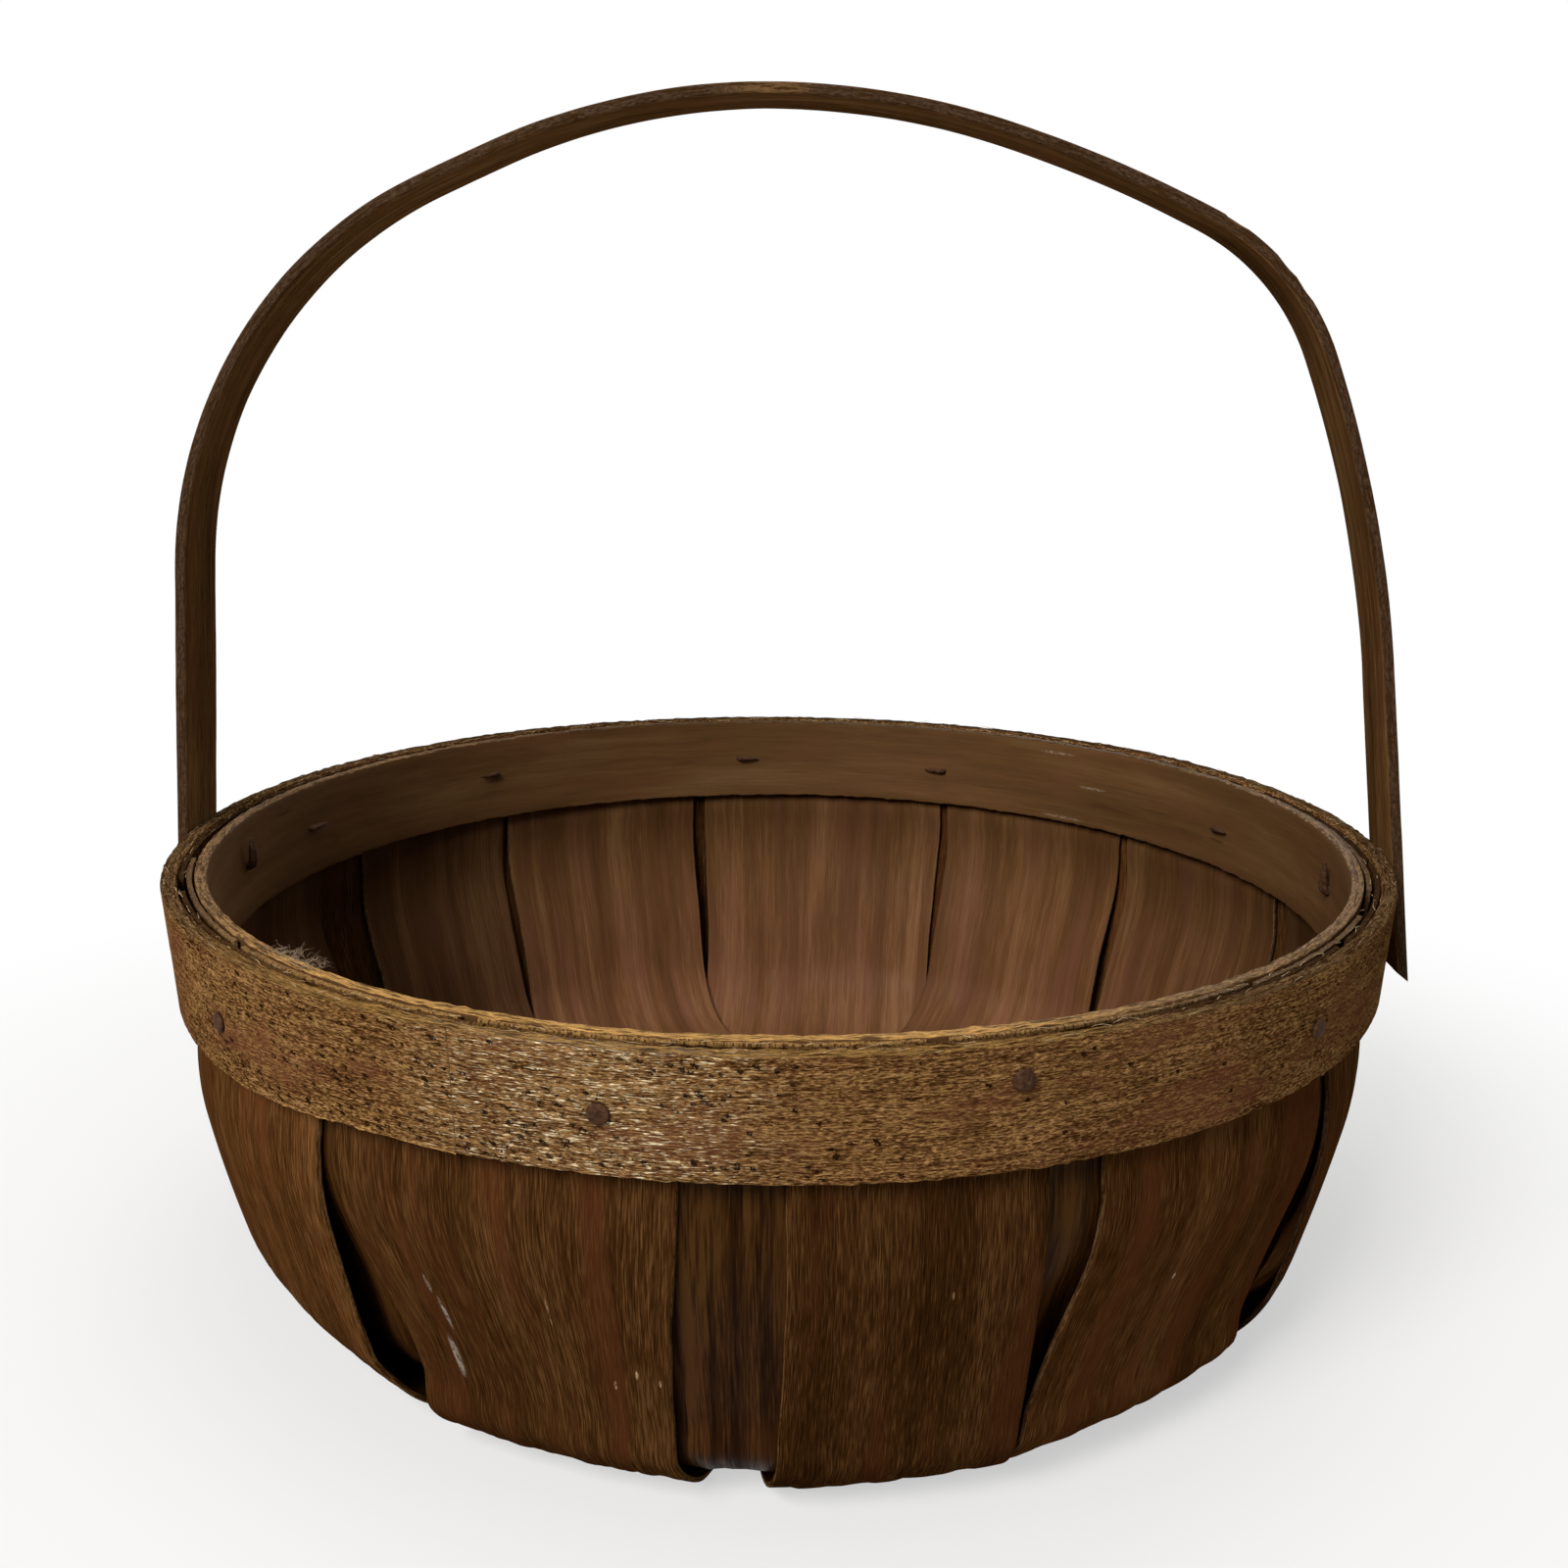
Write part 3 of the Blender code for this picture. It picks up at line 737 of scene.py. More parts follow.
        # Painted highlight: near the lamp's bearing every fleck shows and some take the highlight
        # colour
        highlight_zone = facing.ease(*HIGHLIGHT_SIDE)
        area = graph.grain(*FLECK_AREA_NOISE).ease(*FLECK_AREA)
        fleck = (graph.grain(*FLECK_NOISE) + highlight_zone * 0.045).ease(*FLECK_SHOWN)
        fleck = fleck * (area * (1.0 - highlight_zone) + highlight_zone)
        highlit = fleck * highlight_zone
        highlight_mask = graph.grain(*HIGHLIGHT_NOISE).ease(*HIGHLIGHT_SHOWN) * highlit
        pale = graph.mix(highlight_mask, self.raw, self.painted_glint)
        return graph.mix(fleck * self.flecks, colour, pale), fleck, highlit

    def _pits(self, graph: WoodGraph) -> Value:
        """Open the pores.

        Args:
            graph: The tree.

        Returns:
            How much of an open pore there is at each place, from 0 to 1.
        """
        pores = self.pores
        wobble = graph.grain(*PORE_WOBBLE_NOISE) - 0.5
        place = graph.at(pores.length, pores.width, PORE_SEED)
        place = graph.vector_math("ADD", place, graph.vector(wobble, -wobble, wobble))
        inputs = {"Vector": place, "Scale": 1.0}
        far = graph.node("ShaderNodeTexVoronoi", None, inputs, "Distance")
        cell = Value(graph, far.socket.node.outputs["Color"])
        pick = graph.node("ShaderNodeSeparateColor", None, {0: cell}, 0)
        area = graph.grain(*PORE_AREA_NOISE).ease(*PORE_AREA)
        area = area * (graph.facing(pores.bearing).ease(*PORE_SIDE) * 1.35 + 0.2)
        shown = (pick - area * (1.6 * pores.share)).ease(0.02, -0.02)
        open_part = far.ease(pores.size, pores.size * 0.65) * shown
        return open_part * graph.strip["edge"].ease(*PORE_OFF_EDGE)

    def _raw_wood(self, graph: WoodGraph, facing: Value) -> tuple[Value, Value, Value]:
        """Bare the raw wood at the edges and ends, with painted light on it: lighter towards the
        lamp, darker at the back.

        Args:
            graph: The tree.
            facing: Cosine of the angle from the lamp's bearing.

        Returns:
            The mask of the cut, its colour with the painted light, and its rubble.
        """
        ragged = (graph.grain(*RAGGED_NOISE) - 0.5) * (self.raw_ragged * MM)
        cuts = [
            (graph.strip[name] - ragged).ease(wide * MM, wide * soft * MM)
            for name, wide, soft in (("edge", self.raw_edge, 0.3), ("tip", self.raw_tip, 0.4))
        ]
        crumb, grit = graph.grain(*CRUMB_NOISE), graph.grain(*GRIT_NOISE)
        # Painted light: full raw colour towards the lamp, a shaded copy at the sides, darkest at
        # the back
        lit_front = facing.ease(*LIT_FRONT_SIDE)
        sides = facing.ease(*NEAR_SIDES) * 0.29
        shade = (grit - 0.5) * (sides * 5.0 + 0.7) + (lit_front * 0.52 + sides + 0.22)
        shaded_raw = tuple(part * share for part, share in zip(self.raw, self.shaded_raw_share))
        tan = graph.scaled(graph.mix(lit_front, shaded_raw, self.raw), shade)
        bare = graph.mix(crumb.ease(*CRUMB_DARK) * 0.9, tan, self.dark)
        return graph.math("MAXIMUM", *cuts), bare, crumb + grit

    @staticmethod
    def _scuffed(graph: WoodGraph, colour: Value, scuff: Scuff) -> Value:
        """Lay one mark over the wood.

        Args:
            graph: The tree.
            colour: The colour so far.
            scuff: The mark.

        Returns:
            The marked colour.
        """
        strip = graph.strip
        off_along = (strip["along"] - scuff.along * MM) / (scuff.length / 2.0 * MM)
        off_across = (strip["across"] - scuff.across * MM) / (scuff.width / 2.0 * MM)
        away = off_along * off_along + off_across * off_across
        broken = graph.grain(1.5, 0.28, SCUFF_SEED + scuff.along, 2.0, 0.7).ease(0.38, 0.58)
        here = (strip["piece"] - scuff.piece).size().ease(0.4, 0.2)
        mask = away.ease(1.0, 0.2) * broken * here
        return graph.mix(mask * scuff.strength, colour, scuff.colour)


@dataclass(frozen=True)
class IronFinish:
    """Rusted iron of the tacks and nails, with crust and grit in millimetres."""

    name: str = "rusted_tack_iron"
    dark: Colour = (0.012, 0.0057, 0.0033)
    rust: Colour = (0.045, 0.0200, 0.0096)
    pale: Colour = (0.088, 0.049, 0.029)
    specular: float = 0.05
    crust_size: float = 1.3
    grit_size: float = 0.35

    def material(self) -> bpy.types.Material:
        """Build the shader of the iron.

        Returns:
            The material.
        """
        made, shader = start_material(self.name)
        graph = Graph(made.node_tree)
        place = graph.spot()
        crust = graph.noise(graph.scaled(place, 1.0 / (self.crust_size * MM)), 4.0, 0.65)
        grit = graph.noise(graph.scaled(place, 1.0 / (self.grit_size * MM)), 3.0, 0.6)
        tone = crust * 0.7 + grit * 0.3
        inputs = {
            "Specular IOR Level": self.specular,
            "Base Color": graph.ramp(tone, (0.32, self.dark), (0.52, self.rust), (0.72, self.pale)),
            "Metallic": tone.ease(0.55, 0.35) * 0.15,
            "Roughness": 0.5 + crust * 0.35,
            "Normal": graph.bump(0.5, 0.0003, crust + grit * 0.5),
        }
        graph.feed(shader.inputs, inputs)
        return made


@dataclass(frozen=True)
class FibreFinish:
    """Loose hairs and torn fibres, each strand a little different."""

    name: str
    dark: Colour
    light: Colour
    patches: float = 700.0

    def material(self) -> bpy.types.Material:
        """Build the shader of the fibres.

        Returns:
            The material.
        """
        made, shader = start_material(self.name)
        graph = Graph(made.node_tree)
        tone = graph.noise(graph.scaled(graph.spot(), self.patches))
        colour = graph.mix(tone.ease(0.35, 0.65), self.dark, self.light)
        graph.feed(shader.inputs, {"Base Color": colour, "Roughness": 0.55 + tone * 0.3})
        return made


@dataclass(frozen=True)
class BasketSizes:
    """Sizes that the strips share, in millimetres and degrees.

    A seat is the radius at rim height of the face that a strip rests on.
    """

    rim_radius: float = 165.0
    height: float = 117.2
    hoop_height: float = 27.5
    hoop_lean: float = 4.0
    outer_thick: float = 3.8
    inner_thick: float = 3.0
    splint_thick: float = 1.2
    splint_drop: float = 0.9
    seat_gap: float = 0.3
    hub_pitch: float = 1.5
    ring_depth: float = 2.35
    hub_share: float = 0.72
    hoop_facet: float = 5.0
    splint_facet: float = 8.0

    @property
    def hoop_tan(self) -> float:
        """Slope of the hoops."""
        return math.tan(math.radians(self.hoop_lean))

    @property
    def outer_seat(self) -> float:
        """Seat of the outer hoop's inner face."""
        return self.rim_radius - self.wall(self.outer_thick)

    @property
    def splint_seat(self) -> float:
        """Seat of the wall splints' outer face."""
        return self._inside(self.outer_seat, self.hoop_facet)

    @property
    def lining_seat(self) -> float:
        """Seat of the lining splints' outer face."""
        return self._inside(self.splint_seat - self.splint_thick, self.splint_facet)

    @property
    def inner_seat(self) -> float:
        """Seat of the inner hoop's outer face."""
        return self._inside(self.lining_seat - self.splint_thick, self.splint_facet)

    def _inside(self, radius: float, facet: float) -> float:
        """Radius that fits inside a ring of flats with the usual clearance."""
        return radius * math.cos(math.radians(facet / 2.0)) - self.seat_gap

    def wall(self, thick: float) -> float:
        """Level thickness of a strip that leans as the hoops do."""
        return thick / math.cos(math.radians(self.hoop_lean))


@dataclass
class WallOutline:
    """Outline of the wall from the rim down to the edge of the floor.

    Leans are in degrees.  A row is a radius, a height and a lean.
    """

    sizes: BasketSizes
    rows: list[Row] = field(default_factory=list)
    under_hoop_run: float = 6.0
    bulge_lean: float = -7.5
    bulge_run: float = 24.0
    wall_lean: float = 12.0
    wall_run: float = 34.0
    foot_lean: float = 16.0

    def __post_init__(self) -> None:
        """Walk down the wall in fine steps."""
        lean, drop = self.sizes.hoop_lean, self.sizes.splint_drop
        hoop_run = (self.sizes.hoop_height + 1.0) / math.cos(math.radians(lean))
        radius = self.sizes.splint_seat - drop * self.sizes.hoop_tan
        self.rows.append((radius, self.sizes.height - drop, lean))
        self._run(lean, hoop_run, 12)
        self._run(self.bulge_lean, self.under_hoop_run, 4)
        self._run(self.wall_lean, self.bulge_run, 10)
        self._run(self.foot_lean, self.wall_run, 12)
        foot = math.radians(self.foot_lean)
        bend = self.rows[-1][1] / (1.0 - math.sin(foot)) * (math.pi / 2.0 - foot)
        self._run(90.0, bend, 22)

    def _run(self, lean_to: float, run: float, steps: int) -> None:
        """Follow the outline down while its lean changes evenly.

        Args:
            lean_to: Lean at the end of the run.
            run: Length of the run.
            steps: How many rows it adds.
        """
        lean_from = self.rows[-1][2]
        turn, part = math.radians(lean_to - lean_from) / steps, run / steps
        for step in range(steps):
            radius, height, _ = self.rows[-1]
            start = math.radians(lean_from + (lean_to - lean_from) * step / steps)
            if abs(turn) < TINY:
                inward, down = math.sin(start) * part, math.cos(start) * part
            else:
                inward = (math.cos(start) - math.cos(start + turn)) * part / turn
                down = (math.sin(start + turn) - math.sin(start)) * part / turn
            lean = math.degrees(start + turn)
            self.rows.append((radius - inward, max(height - down, 0.0), lean))

    @property
    def floor_radius(self) -> float:
        """Radius at which the wall has turned level."""
        return self.rows[-1][0]


class StripGraph(GeometryGraph):
    """A tree that sweeps a flat strip with rounded edges along a path."""

    # Length and width in millimetres of each streak, and a number of its own
    wander, chips, warped = (45.0, 90.0, 2.0), (5.0, 40.0, 6.0), (45.0, 22.0, 11.0)
    wander_deep, chip_deep = 1.8, 0.25
    # Whether the grain runs round the rim without a seam
    wound = False
    turning = Turning.LEVEL
    profile = ("Profile X", "Profile Y", "Shift X", "Shift Y", "Edge Round")
    common = (*profile, "Column", "Seed", "Tone")

    def sweep(self, wide: str = "x", thin: str = "y") -> Value:
        """Sweep the profile along the path.

        Args:
            wide: Axis of the profile that is the strip's width.
            thin: Axis that is its thickness.

        Returns:
            The swept strip with its marks.
        """
        rectangle = self.node(
            "GeometryNodeCurvePrimitiveQuadrilateral",
            {"mode": "RECTANGLE"},
            {"Width": self.given("Profile X"), "Height": self.given("Profile Y")},
        )
        inputs = {"Curve": rectangle, "Count": 3, "Radius": self.given("Edge Round")}
        rounded = self.node("GeometryNodeFilletCurve", {"mode": "POLY"}, inputs)
        after = self.node("GeometryNodeOffsetPointInCurve", None, {"Offset": 1}, "Point Index")
        ahead = self.node(
            "GeometryNodeFieldAtIndex",
            {"data_type": "FLOAT_VECTOR", "domain": "POINT"},
            {"Index": after, "Value": self.place()},
        )
        gap = self.vector_math("LENGTH", self.vector_math("SUBTRACT", ahead, self.place()))
        inputs = {"Curve": rounded, "Cuts": self.math("FLOOR", gap / self.given("Column"))}
        fine = self.node("GeometryNodeSubdivideCurve", None, inputs)
        x, y = self.part(self.place(), 0), self.part(self.place(), 1)
        marked = self.store(fine, profile_x=x, profile_y=y)
        moved = self.shift(marked, self.vector(self.given("Shift X"), self.given("Shift Y"), 0.0))
        upright = {"mode": self.turning.value}
        path = self.node("GeometryNodeSetCurveNormal", upright, {"Curve": self.line()})
        across, through = self.named(f"profile_{wide}"), self.named(f"profile_{thin}")
        return self.store(
            self.swept(path, moved),
            tone=self.given("Tone"),
            piece=self.given("Seed"),
            across=across,
            through=through,
            edge=self.given(f"Profile {wide.upper()}") * 0.5 - across.size(),
        )

    def streak(self, length: float, width: float, seed: float) -> Value:
        """Unevenness about 0 that follows the grain.

        Args:
            length: Length of a feature in millimetres.
            width: Its width.
            seed: Shift that sets one noise apart from another.

        Returns:
            The noise, from -0.5 to 0.5.
        """
        long, own = 1.0 / (length * MM), self.given("Seed") * PIECE_STEP + seed
        across = self.named("across") * (1.0 / (width * MM))
        if self.wound:
            x, y = self.part(self.place(), 0), self.part(self.place(), 1)
            return self.noise(self.vector(x * long, y * long, across + own)) - 0.5
        return self.noise(self.vector(self.named("along") * long, across, own)) - 0.5

    def loose_edge(self) -> Value:
        """How far an edge wanders and is chipped."""
        far = self.streak(*self.wander) * (self.wander_deep * MM)
        return far + self.streak(*self.chips) * (self.chip_deep * MM)


class SplintGraph(StripGraph):
    """A thin splint that turns from the wall under the floor."""

    turning = Turning.FOLLOWING
    creased, crumbled = (90.0, 12.0, 21.0), (500.0, 1.6, 15.0)
    crease_wide, crease_high, crumble_out = 0.16, 0.7, 0.12
    crumble_deep = 4.0

    def __init__(self) -> None:
        """Make the whole tree, which keeps the splint on the round of the wall."""
        super().__init__("splint", *self.common, "Bearing", "Warp", "Buckle", "Ragged End")
        strip = self.sweep()
        x, half = self.named("profile_x"), self.given("Profile X") * 0.5
        rim = x / half
        angle = self.given("Bearing")
        sine, cosine = self.math("SINE", angle), self.math("COSINE", angle)
        ahead, aside = self.vector(sine, -cosine, 0.0), self.vector(cosine, sine, 0.0)
        loose = self.loose_edge()
        offset = x * self.named("width_share") + self.named("sway") + loose * rim.size() * rim
        reach = self.vector_math("DOT_PRODUCT", self.place(), ahead)
        far = reach.size()
        inner = self.math("SQRT", self.math("MAXIMUM", far * far - offset * offset, 0.0))
        pull = (far - inner) * self.named("hollow") * self.math("SIGN", reach)
        warp = self.streak(*self.warped) * self.given("Warp")
        crease = self.streak(*self.creased).size().ease(0.0, self.crease_wide)
        buckle = (crease - self.crease_high) * self.named("bend") * self.given("Buckle")
        tilt = self.named("tilt") * rim * 0.5
        crumble = (self.streak(*self.crumbled) - self.crumble_out) * self.given("Ragged End")
        lift = crumble * self.named("tip").ease(self.crumble_deep * MM, 0.0) - self.named("droop")
        moved = self.shift(
            strip,
            self.scaled(aside, offset - x),
            self.scaled(ahead, -pull),
            self.scaled(self.named("out", "FLOAT_VECTOR"), warp + buckle + tilt),
            self.vector(0.0, 0.0, lift),
        )
        self.close(moved)


class HoopGraph(StripGraph):
    """A hoop that leans inward and whose ends thin out and overlap."""

    wound = True
    warped, waved = (55.0, 30.0, 3.0), (70.0, 900.0, 12.0)
    grooved, groove_deep = (4.0, 1.6, 7.0), 0.22
    frayed, fray_deep = (2.2, 900.0, 16.0), 1.5

    def __init__(self, sizes: BasketSizes) -> None:
        """Make the whole tree, which leans the swept hoop inward.

        Args:
            sizes: Sizes of the basket.
        """
        super().__init__("hoop", *self.common, "Outward", "Warp", "Wave")
        strip = self.sweep("y", "x")
        place, seat = self.place(), self.named("seat")
        level = self.part(place, 2)
        flat = self.vector_math("MULTIPLY", place, (1.0, 1.0, 0.0))
        radius = self.vector_math("LENGTH", flat)
        off = radius - seat
        deep = 1.0 + self.named("extra_depth") / self.given("Profile Y")
        below = (sizes.height * MM - level) * deep
        face = off.size() / self.given("Profile X") * self.given("Outward")
        rough = self.streak(*self.warped) * self.given("Warp")
        rough = rough + self.streak(*self.grooved) * (self.groove_deep * MM) * face
        target = seat + off * self.named("thick_share") - below * sizes.hoop_tan + rough
        fray = self.streak(*self.frayed) * (self.fray_deep * MM)
        fray = fray * self.named("edge").ease(self.fray_deep * MM, 0.0)
        wave = self.streak(*self.waved) * self.given("Wave")
        lift = wave + fray + sizes.height * MM - below - level
        inward = self.scaled(flat, target / radius - 1.0)
        self.close(self.shift(strip, inward, self.vector(0.0, 0.0, lift)))


class HandleGraph(StripGraph):
    """The bent strip of the handle, made lying in the XZ plane."""

    wander, chips, warped = (60.0, 900.0, 2.0), (4.0, 900.0, 6.0), (40.0, 12.0, 11.0)
    wander_deep, chip_deep = 1.2, 0.3
    nick_deep, trim_long = 2.0, 22.0

    def __init__(self) -> None:
        """Make the whole tree, which nicks the edge and trims the ends."""
        super().__init__("handle_strip", *self.common, "Warp", "Trim")
        strip = self.sweep()
        x, y = self.named("profile_x"), self.named("profile_y")
        side, depth = x / (self.given("Profile X") * 0.5), y / self.given("Profile Y") + 0.5
        loose = self.loose_edge()
        warp = self.streak(*self.warped) * self.given("Warp")
        edge = self.named("edge").ease(self.nick_deep * MM, 0.0)
        nick = self.named("nick") * edge * (1.0 - depth) * side.ease(0.2, 0.8)
        trim = self.given("Trim") * depth * self.named("tip").ease(self.trim_long * MM, 0.0)
        moved = self.shift(
            strip,
            self.scaled(self.named("out", "FLOAT_VECTOR"), warp - nick),
            self.vector(0.0, -(loose * side), 0.0),
            self.scaled(self.named("heading", "FLOAT_VECTOR"), trim * self.named("end_way")),
        )
        self.close(moved)


class IronGraph(GeometryGraph):
    """Round iron along lines whose points carry their own girth."""

    def __init__(self) -> None:
        """Make the whole tree, which dents the swept iron."""
        super().__init__("driven_iron", "Dent")
        swept = self.swept(self.line(), self.ring(24, 1.0), self.named("girth"))
        dent = (self.noise(self.scaled(self.place(), 900.0)) - 0.5) * self.given("Dent")
        normal = self.node("GeometryNodeInputNormal")
        self.close(self.shift(swept, self.scaled(normal, dent)))


class FibreGraph(GeometryGraph):
    """Short curved strands scattered over a patch of the rim."""

    def __init__(self) -> None:
        """Make the whole tree, from the points to the tapered strands."""
        sizes = ("Density", "Strand", "Girth", "Yaw", "Lift", "Curl", "Seed")
        super().__init__("loose_fibres", *sizes)
        patch = {"Mesh": self.given("Path")}
        patch |= {"Density": self.given("Density"), "Seed": self.given("Seed")}
        anywhere = {"distribute_method": "RANDOM"}
        points = self.node("GeometryNodeDistributePointsOnFaces", anywhere, patch)
        bow = {"Start": (0.0, 0.0, 0.0), "Middle": (0.5, 0.1, 0.12), "End": (1.0, 0.0, 0.03)}
        strand = self.node("GeometryNodeCurveQuadraticBezier", None, {"Resolution": 9} | bow)
        place = self.place()
        turn = self.math("ARCTAN2", self.part(place, 0), -self.part(place, 1))
        yaw = self._random(1.0, -1.0, 1.0) * self.given("Yaw")
        lift = self._random(2.0, 0.0, 1.0) * self.given("Lift")
        roll = self._random(3.0, -1.5, 1.5)
        flip = self.math("ROUND", self._random(4.0, 0.0, 1.0)) * math.pi
        size = self._random(5.0, 0.25, 1.0) * self.given("Strand")
        inputs = {
            "Points": points,
            "Instance": strand,
            "Rotation": self.vector(roll, -lift, turn + yaw + flip),
            "Scale": self.vector(size, size, size),
        }
        set_out = self.node("GeometryNodeInstanceOnPoints", None, inputs)
        real = self.node("GeometryNodeRealizeInstances", None, {0: set_out})
        far = self.node("GeometryNodeSplineParameter", None, None, "Factor")
        inputs = {"Vector": place, "Scale": 420.0, "Detail": 1.0}
        bend = self.node("ShaderNodeTexNoise", None, inputs, "Color")
        sway = self.vector_math("SUBTRACT", bend, (0.5, 0.5, 0.42))
        curled = self.shift(real, self.scaled(sway, far * self.given("Curl")))
        self.close(self.swept(curled, self.ring(4, self.given("Girth")), 1.0 - far * 0.7))

    def _random(self, step: float, low: float, high: float) -> Value:
        """Random number for each point."""
        inputs = {2: low, 3: high, "Seed": self.given("Seed") + step}
        return self.node("FunctionNodeRandomValue", {"data_type": "FLOAT"}, inputs, 1)


@dataclass(frozen=True)
class Half:
    """Shape of the front or back half of a splint, as seen from outside.

    Sway is a share of the splint's width, the others are in millimetres.
    """

    sway: float = 0.0
    belly: float = 0.0
    tilt: float = 0.0
    droop: float = 0.0


@dataclass(frozen=True)
class SplintPlan:
    """Where one splint lies and how it is shaped."""

    bearing: float
    span: float
    foot_share: float
    front: Half = Half()
    back: Half = Half()
    # Colour factor of the whole splint: a wall splint's own colour; below 1 on a lining splint,
    # painted shade
    tone: float = 1.0


@dataclass
class SplintLayer:
    """One layer of six splints, from rim to rim under the floor.

    The clamp's start and end and the foot's end are shares of the height,
    measured from the rim.  The hub's end and the start of the flattening are
    shares of the floor's radius.  The leans, in degrees, are where the splint
    starts to turn and to bend, does so fully, and stops again.
    """

    sizes: BasketSizes
    outline: WallOutline
    layer: Layer
    plans: Sequence[SplintPlan]
    first_order: int
    finish: WoodFinish
    slot: str
    clamp_start: float = 0.30
    clamp_end: float = 0.70
    foot_end: float = 0.80
    droop_end: float = 0.16
    hub_end: float = 0.25
    flat_start: float = 0.86
    turn_leans: tuple[float, float, float, float] = (16.0, 35.0, 60.0, 85.0)
    bend_leans: tuple[float, float, float, float] = (14.0, 30.0, 75.0, 90.0)
    flattening: float = 0.30
    floor_steps: int = 12
    edge_round: float = 0.28
    column: float = 1.6
    warp: float = 0.5
    buckle: float = 0.4
    ragged_end: float = 1.6

    def build(self, graph: SplintGraph) -> list[bpy.types.Object]:
        """Build all six splints and hide the solids that they stand for.

        Args:
            graph: The tree that sweeps a splint.

        Returns:
            The splints.
        """
        wood, thick = self.finish.material(), self.sizes.splint_thick * MM
        made = []
        for order, plan in enumerate(self.plans, self.first_order):
            node = f"{self.layer.value}_{order - self.first_order + 1}"
            obj = grow(
                self._line(f"{node}_wood", plan, order),
                graph,
                wood,
                profile_x=self._width(plan) * MM,
                profile_y=thick,
                shift_y=-thick / 2.0,
                edge_round=self.edge_round * MM,
                column=self.column * MM,
                seed=float(order),
                tone=plan.tone,
                bearing=math.radians(plan.bearing),
                warp=self.warp * MM,
                buckle=self.buckle * MM,
                ragged_end=self.ragged_end * MM,
            )
            made.append(dress(obj, Body.BASKET, self.slot, node))
        return made

    def _width(self, plan: SplintPlan) -> float:
        """Width of a splint at the rim."""
        return 2.0 * self.sizes.splint_seat * math.sin(math.radians(plan.span) / 2.0)

    def _line(self, name: str, plan: SplintPlan, order: int) -> bpy.types.Object:
        """Draw the line along the middle of a splint's outer face.

        Args:
            name: Name of the piece.
            plan: The splint.
            order: Its place in the stack, counted from the outside.

        Returns:
            The object that carries the line.
        """
        front = self._half_rows(plan, plan.front, 1.0, order)
        rows = front + self._half_rows(plan, plan.back, -1.0, order)[-2::-1]
        marks = {key: [row[key] for row in rows] for key in rows[0]}
        points = marks.pop("point")
        along, marks["tip"] = path_marks(points)
        marks["along"] = [part - along[-1] / 2.0 for part in along]
        return polyline(name, [points], marks)

    def _half_rows(
        self, plan: SplintPlan, half: Half, way: float, order: int
    ) -> list[dict[str, Any]]:
        """Walk down one half of a splint, from the rim to the middle of the floor.

        Args:
            plan: The splint.
            half: Shape of this half.
            way: 1 for the front half and -1 for the back one.
            order: The splint's place in the stack.

        Returns:
            Point and marks of each row.
        """
        sizes, lining = self.sizes, self.layer is Layer.LINING
        rim = sizes.splint_seat - sizes.lining_seat if lining else 0.0
        ring, hub = order // 3 * sizes.ring_depth, order * sizes.hub_pitch
        flattening = 0.0 if lining else self.flattening
        sway = half.sway * self._width(plan) * way
        rows = []
        for radius, height, lean in self.outline.rows:
            below = (sizes.height - height) / sizes.height
            loose = smooth_step(below, self.clamp_start, self.clamp_end)
            foot = smooth_step(below, self.clamp_start, self.foot_end)
            turn = swell(lean, *self.turn_leans)
            row = self._row(
                bearing_vector(plan.bearing) * way,
                (radius, height, lean),
                rim + (ring - rim) * loose - half.belly * turn,
                width_share=1.0 + (plan.foot_share - 1.0) * foot,
                sway=sway * foot * MM,
                hollow=1.0 - flattening * foot,
                bend=swell(lean, *self.bend_leans),
                droop=half.droop * (1.0 - smooth_step(below, 0.0, self.droop_end)) * MM,
                tilt=half.tilt * turn * way * MM,
            )
            rows.append(row)
        for step in range(1, self.floor_steps + 1):
            share = 1.0 - step / self.floor_steps
            level = smooth_step(share, sizes.hub_share, 1.0)
            hollow = smooth_step(share, self.hub_end, sizes.hub_share)
            row = self._row(
                bearing_vector(plan.bearing) * way,
                (self.outline.floor_radius * share, 0.0, 90.0),
                hub + (ring - hub) * level,
                width_share=plan.foot_share,
                sway=sway * level * MM,
                hollow=hollow - flattening * smooth_step(share, self.flat_start, 1.0),
            )
            rows.append(row)
        return rows

    @staticmethod
    def _row(ahead: Vector, place: Row, depth: float, **marks: float) -> dict[str, Any]:
        """Set one row inside the outline.

        Args:
            ahead: Level direction of the half.
            place: Row of the outline.
            depth: How far inside the common outline the splint lies.
            marks: Numbers that go with the row.

        Returns:
            The point, its outward direction and its marks.
        """
        radius, height, lean = place
        angle = math.radians(lean)
        inward = ahead * -math.cos(angle) + UP * math.sin(angle)
        point = ahead * radius + inward * depth + UP * height
        flat = {"bend": 0.0, "droop": 0.0, "tilt": 0.0}
        return {"point": point, "out": -inward} | flat | marks


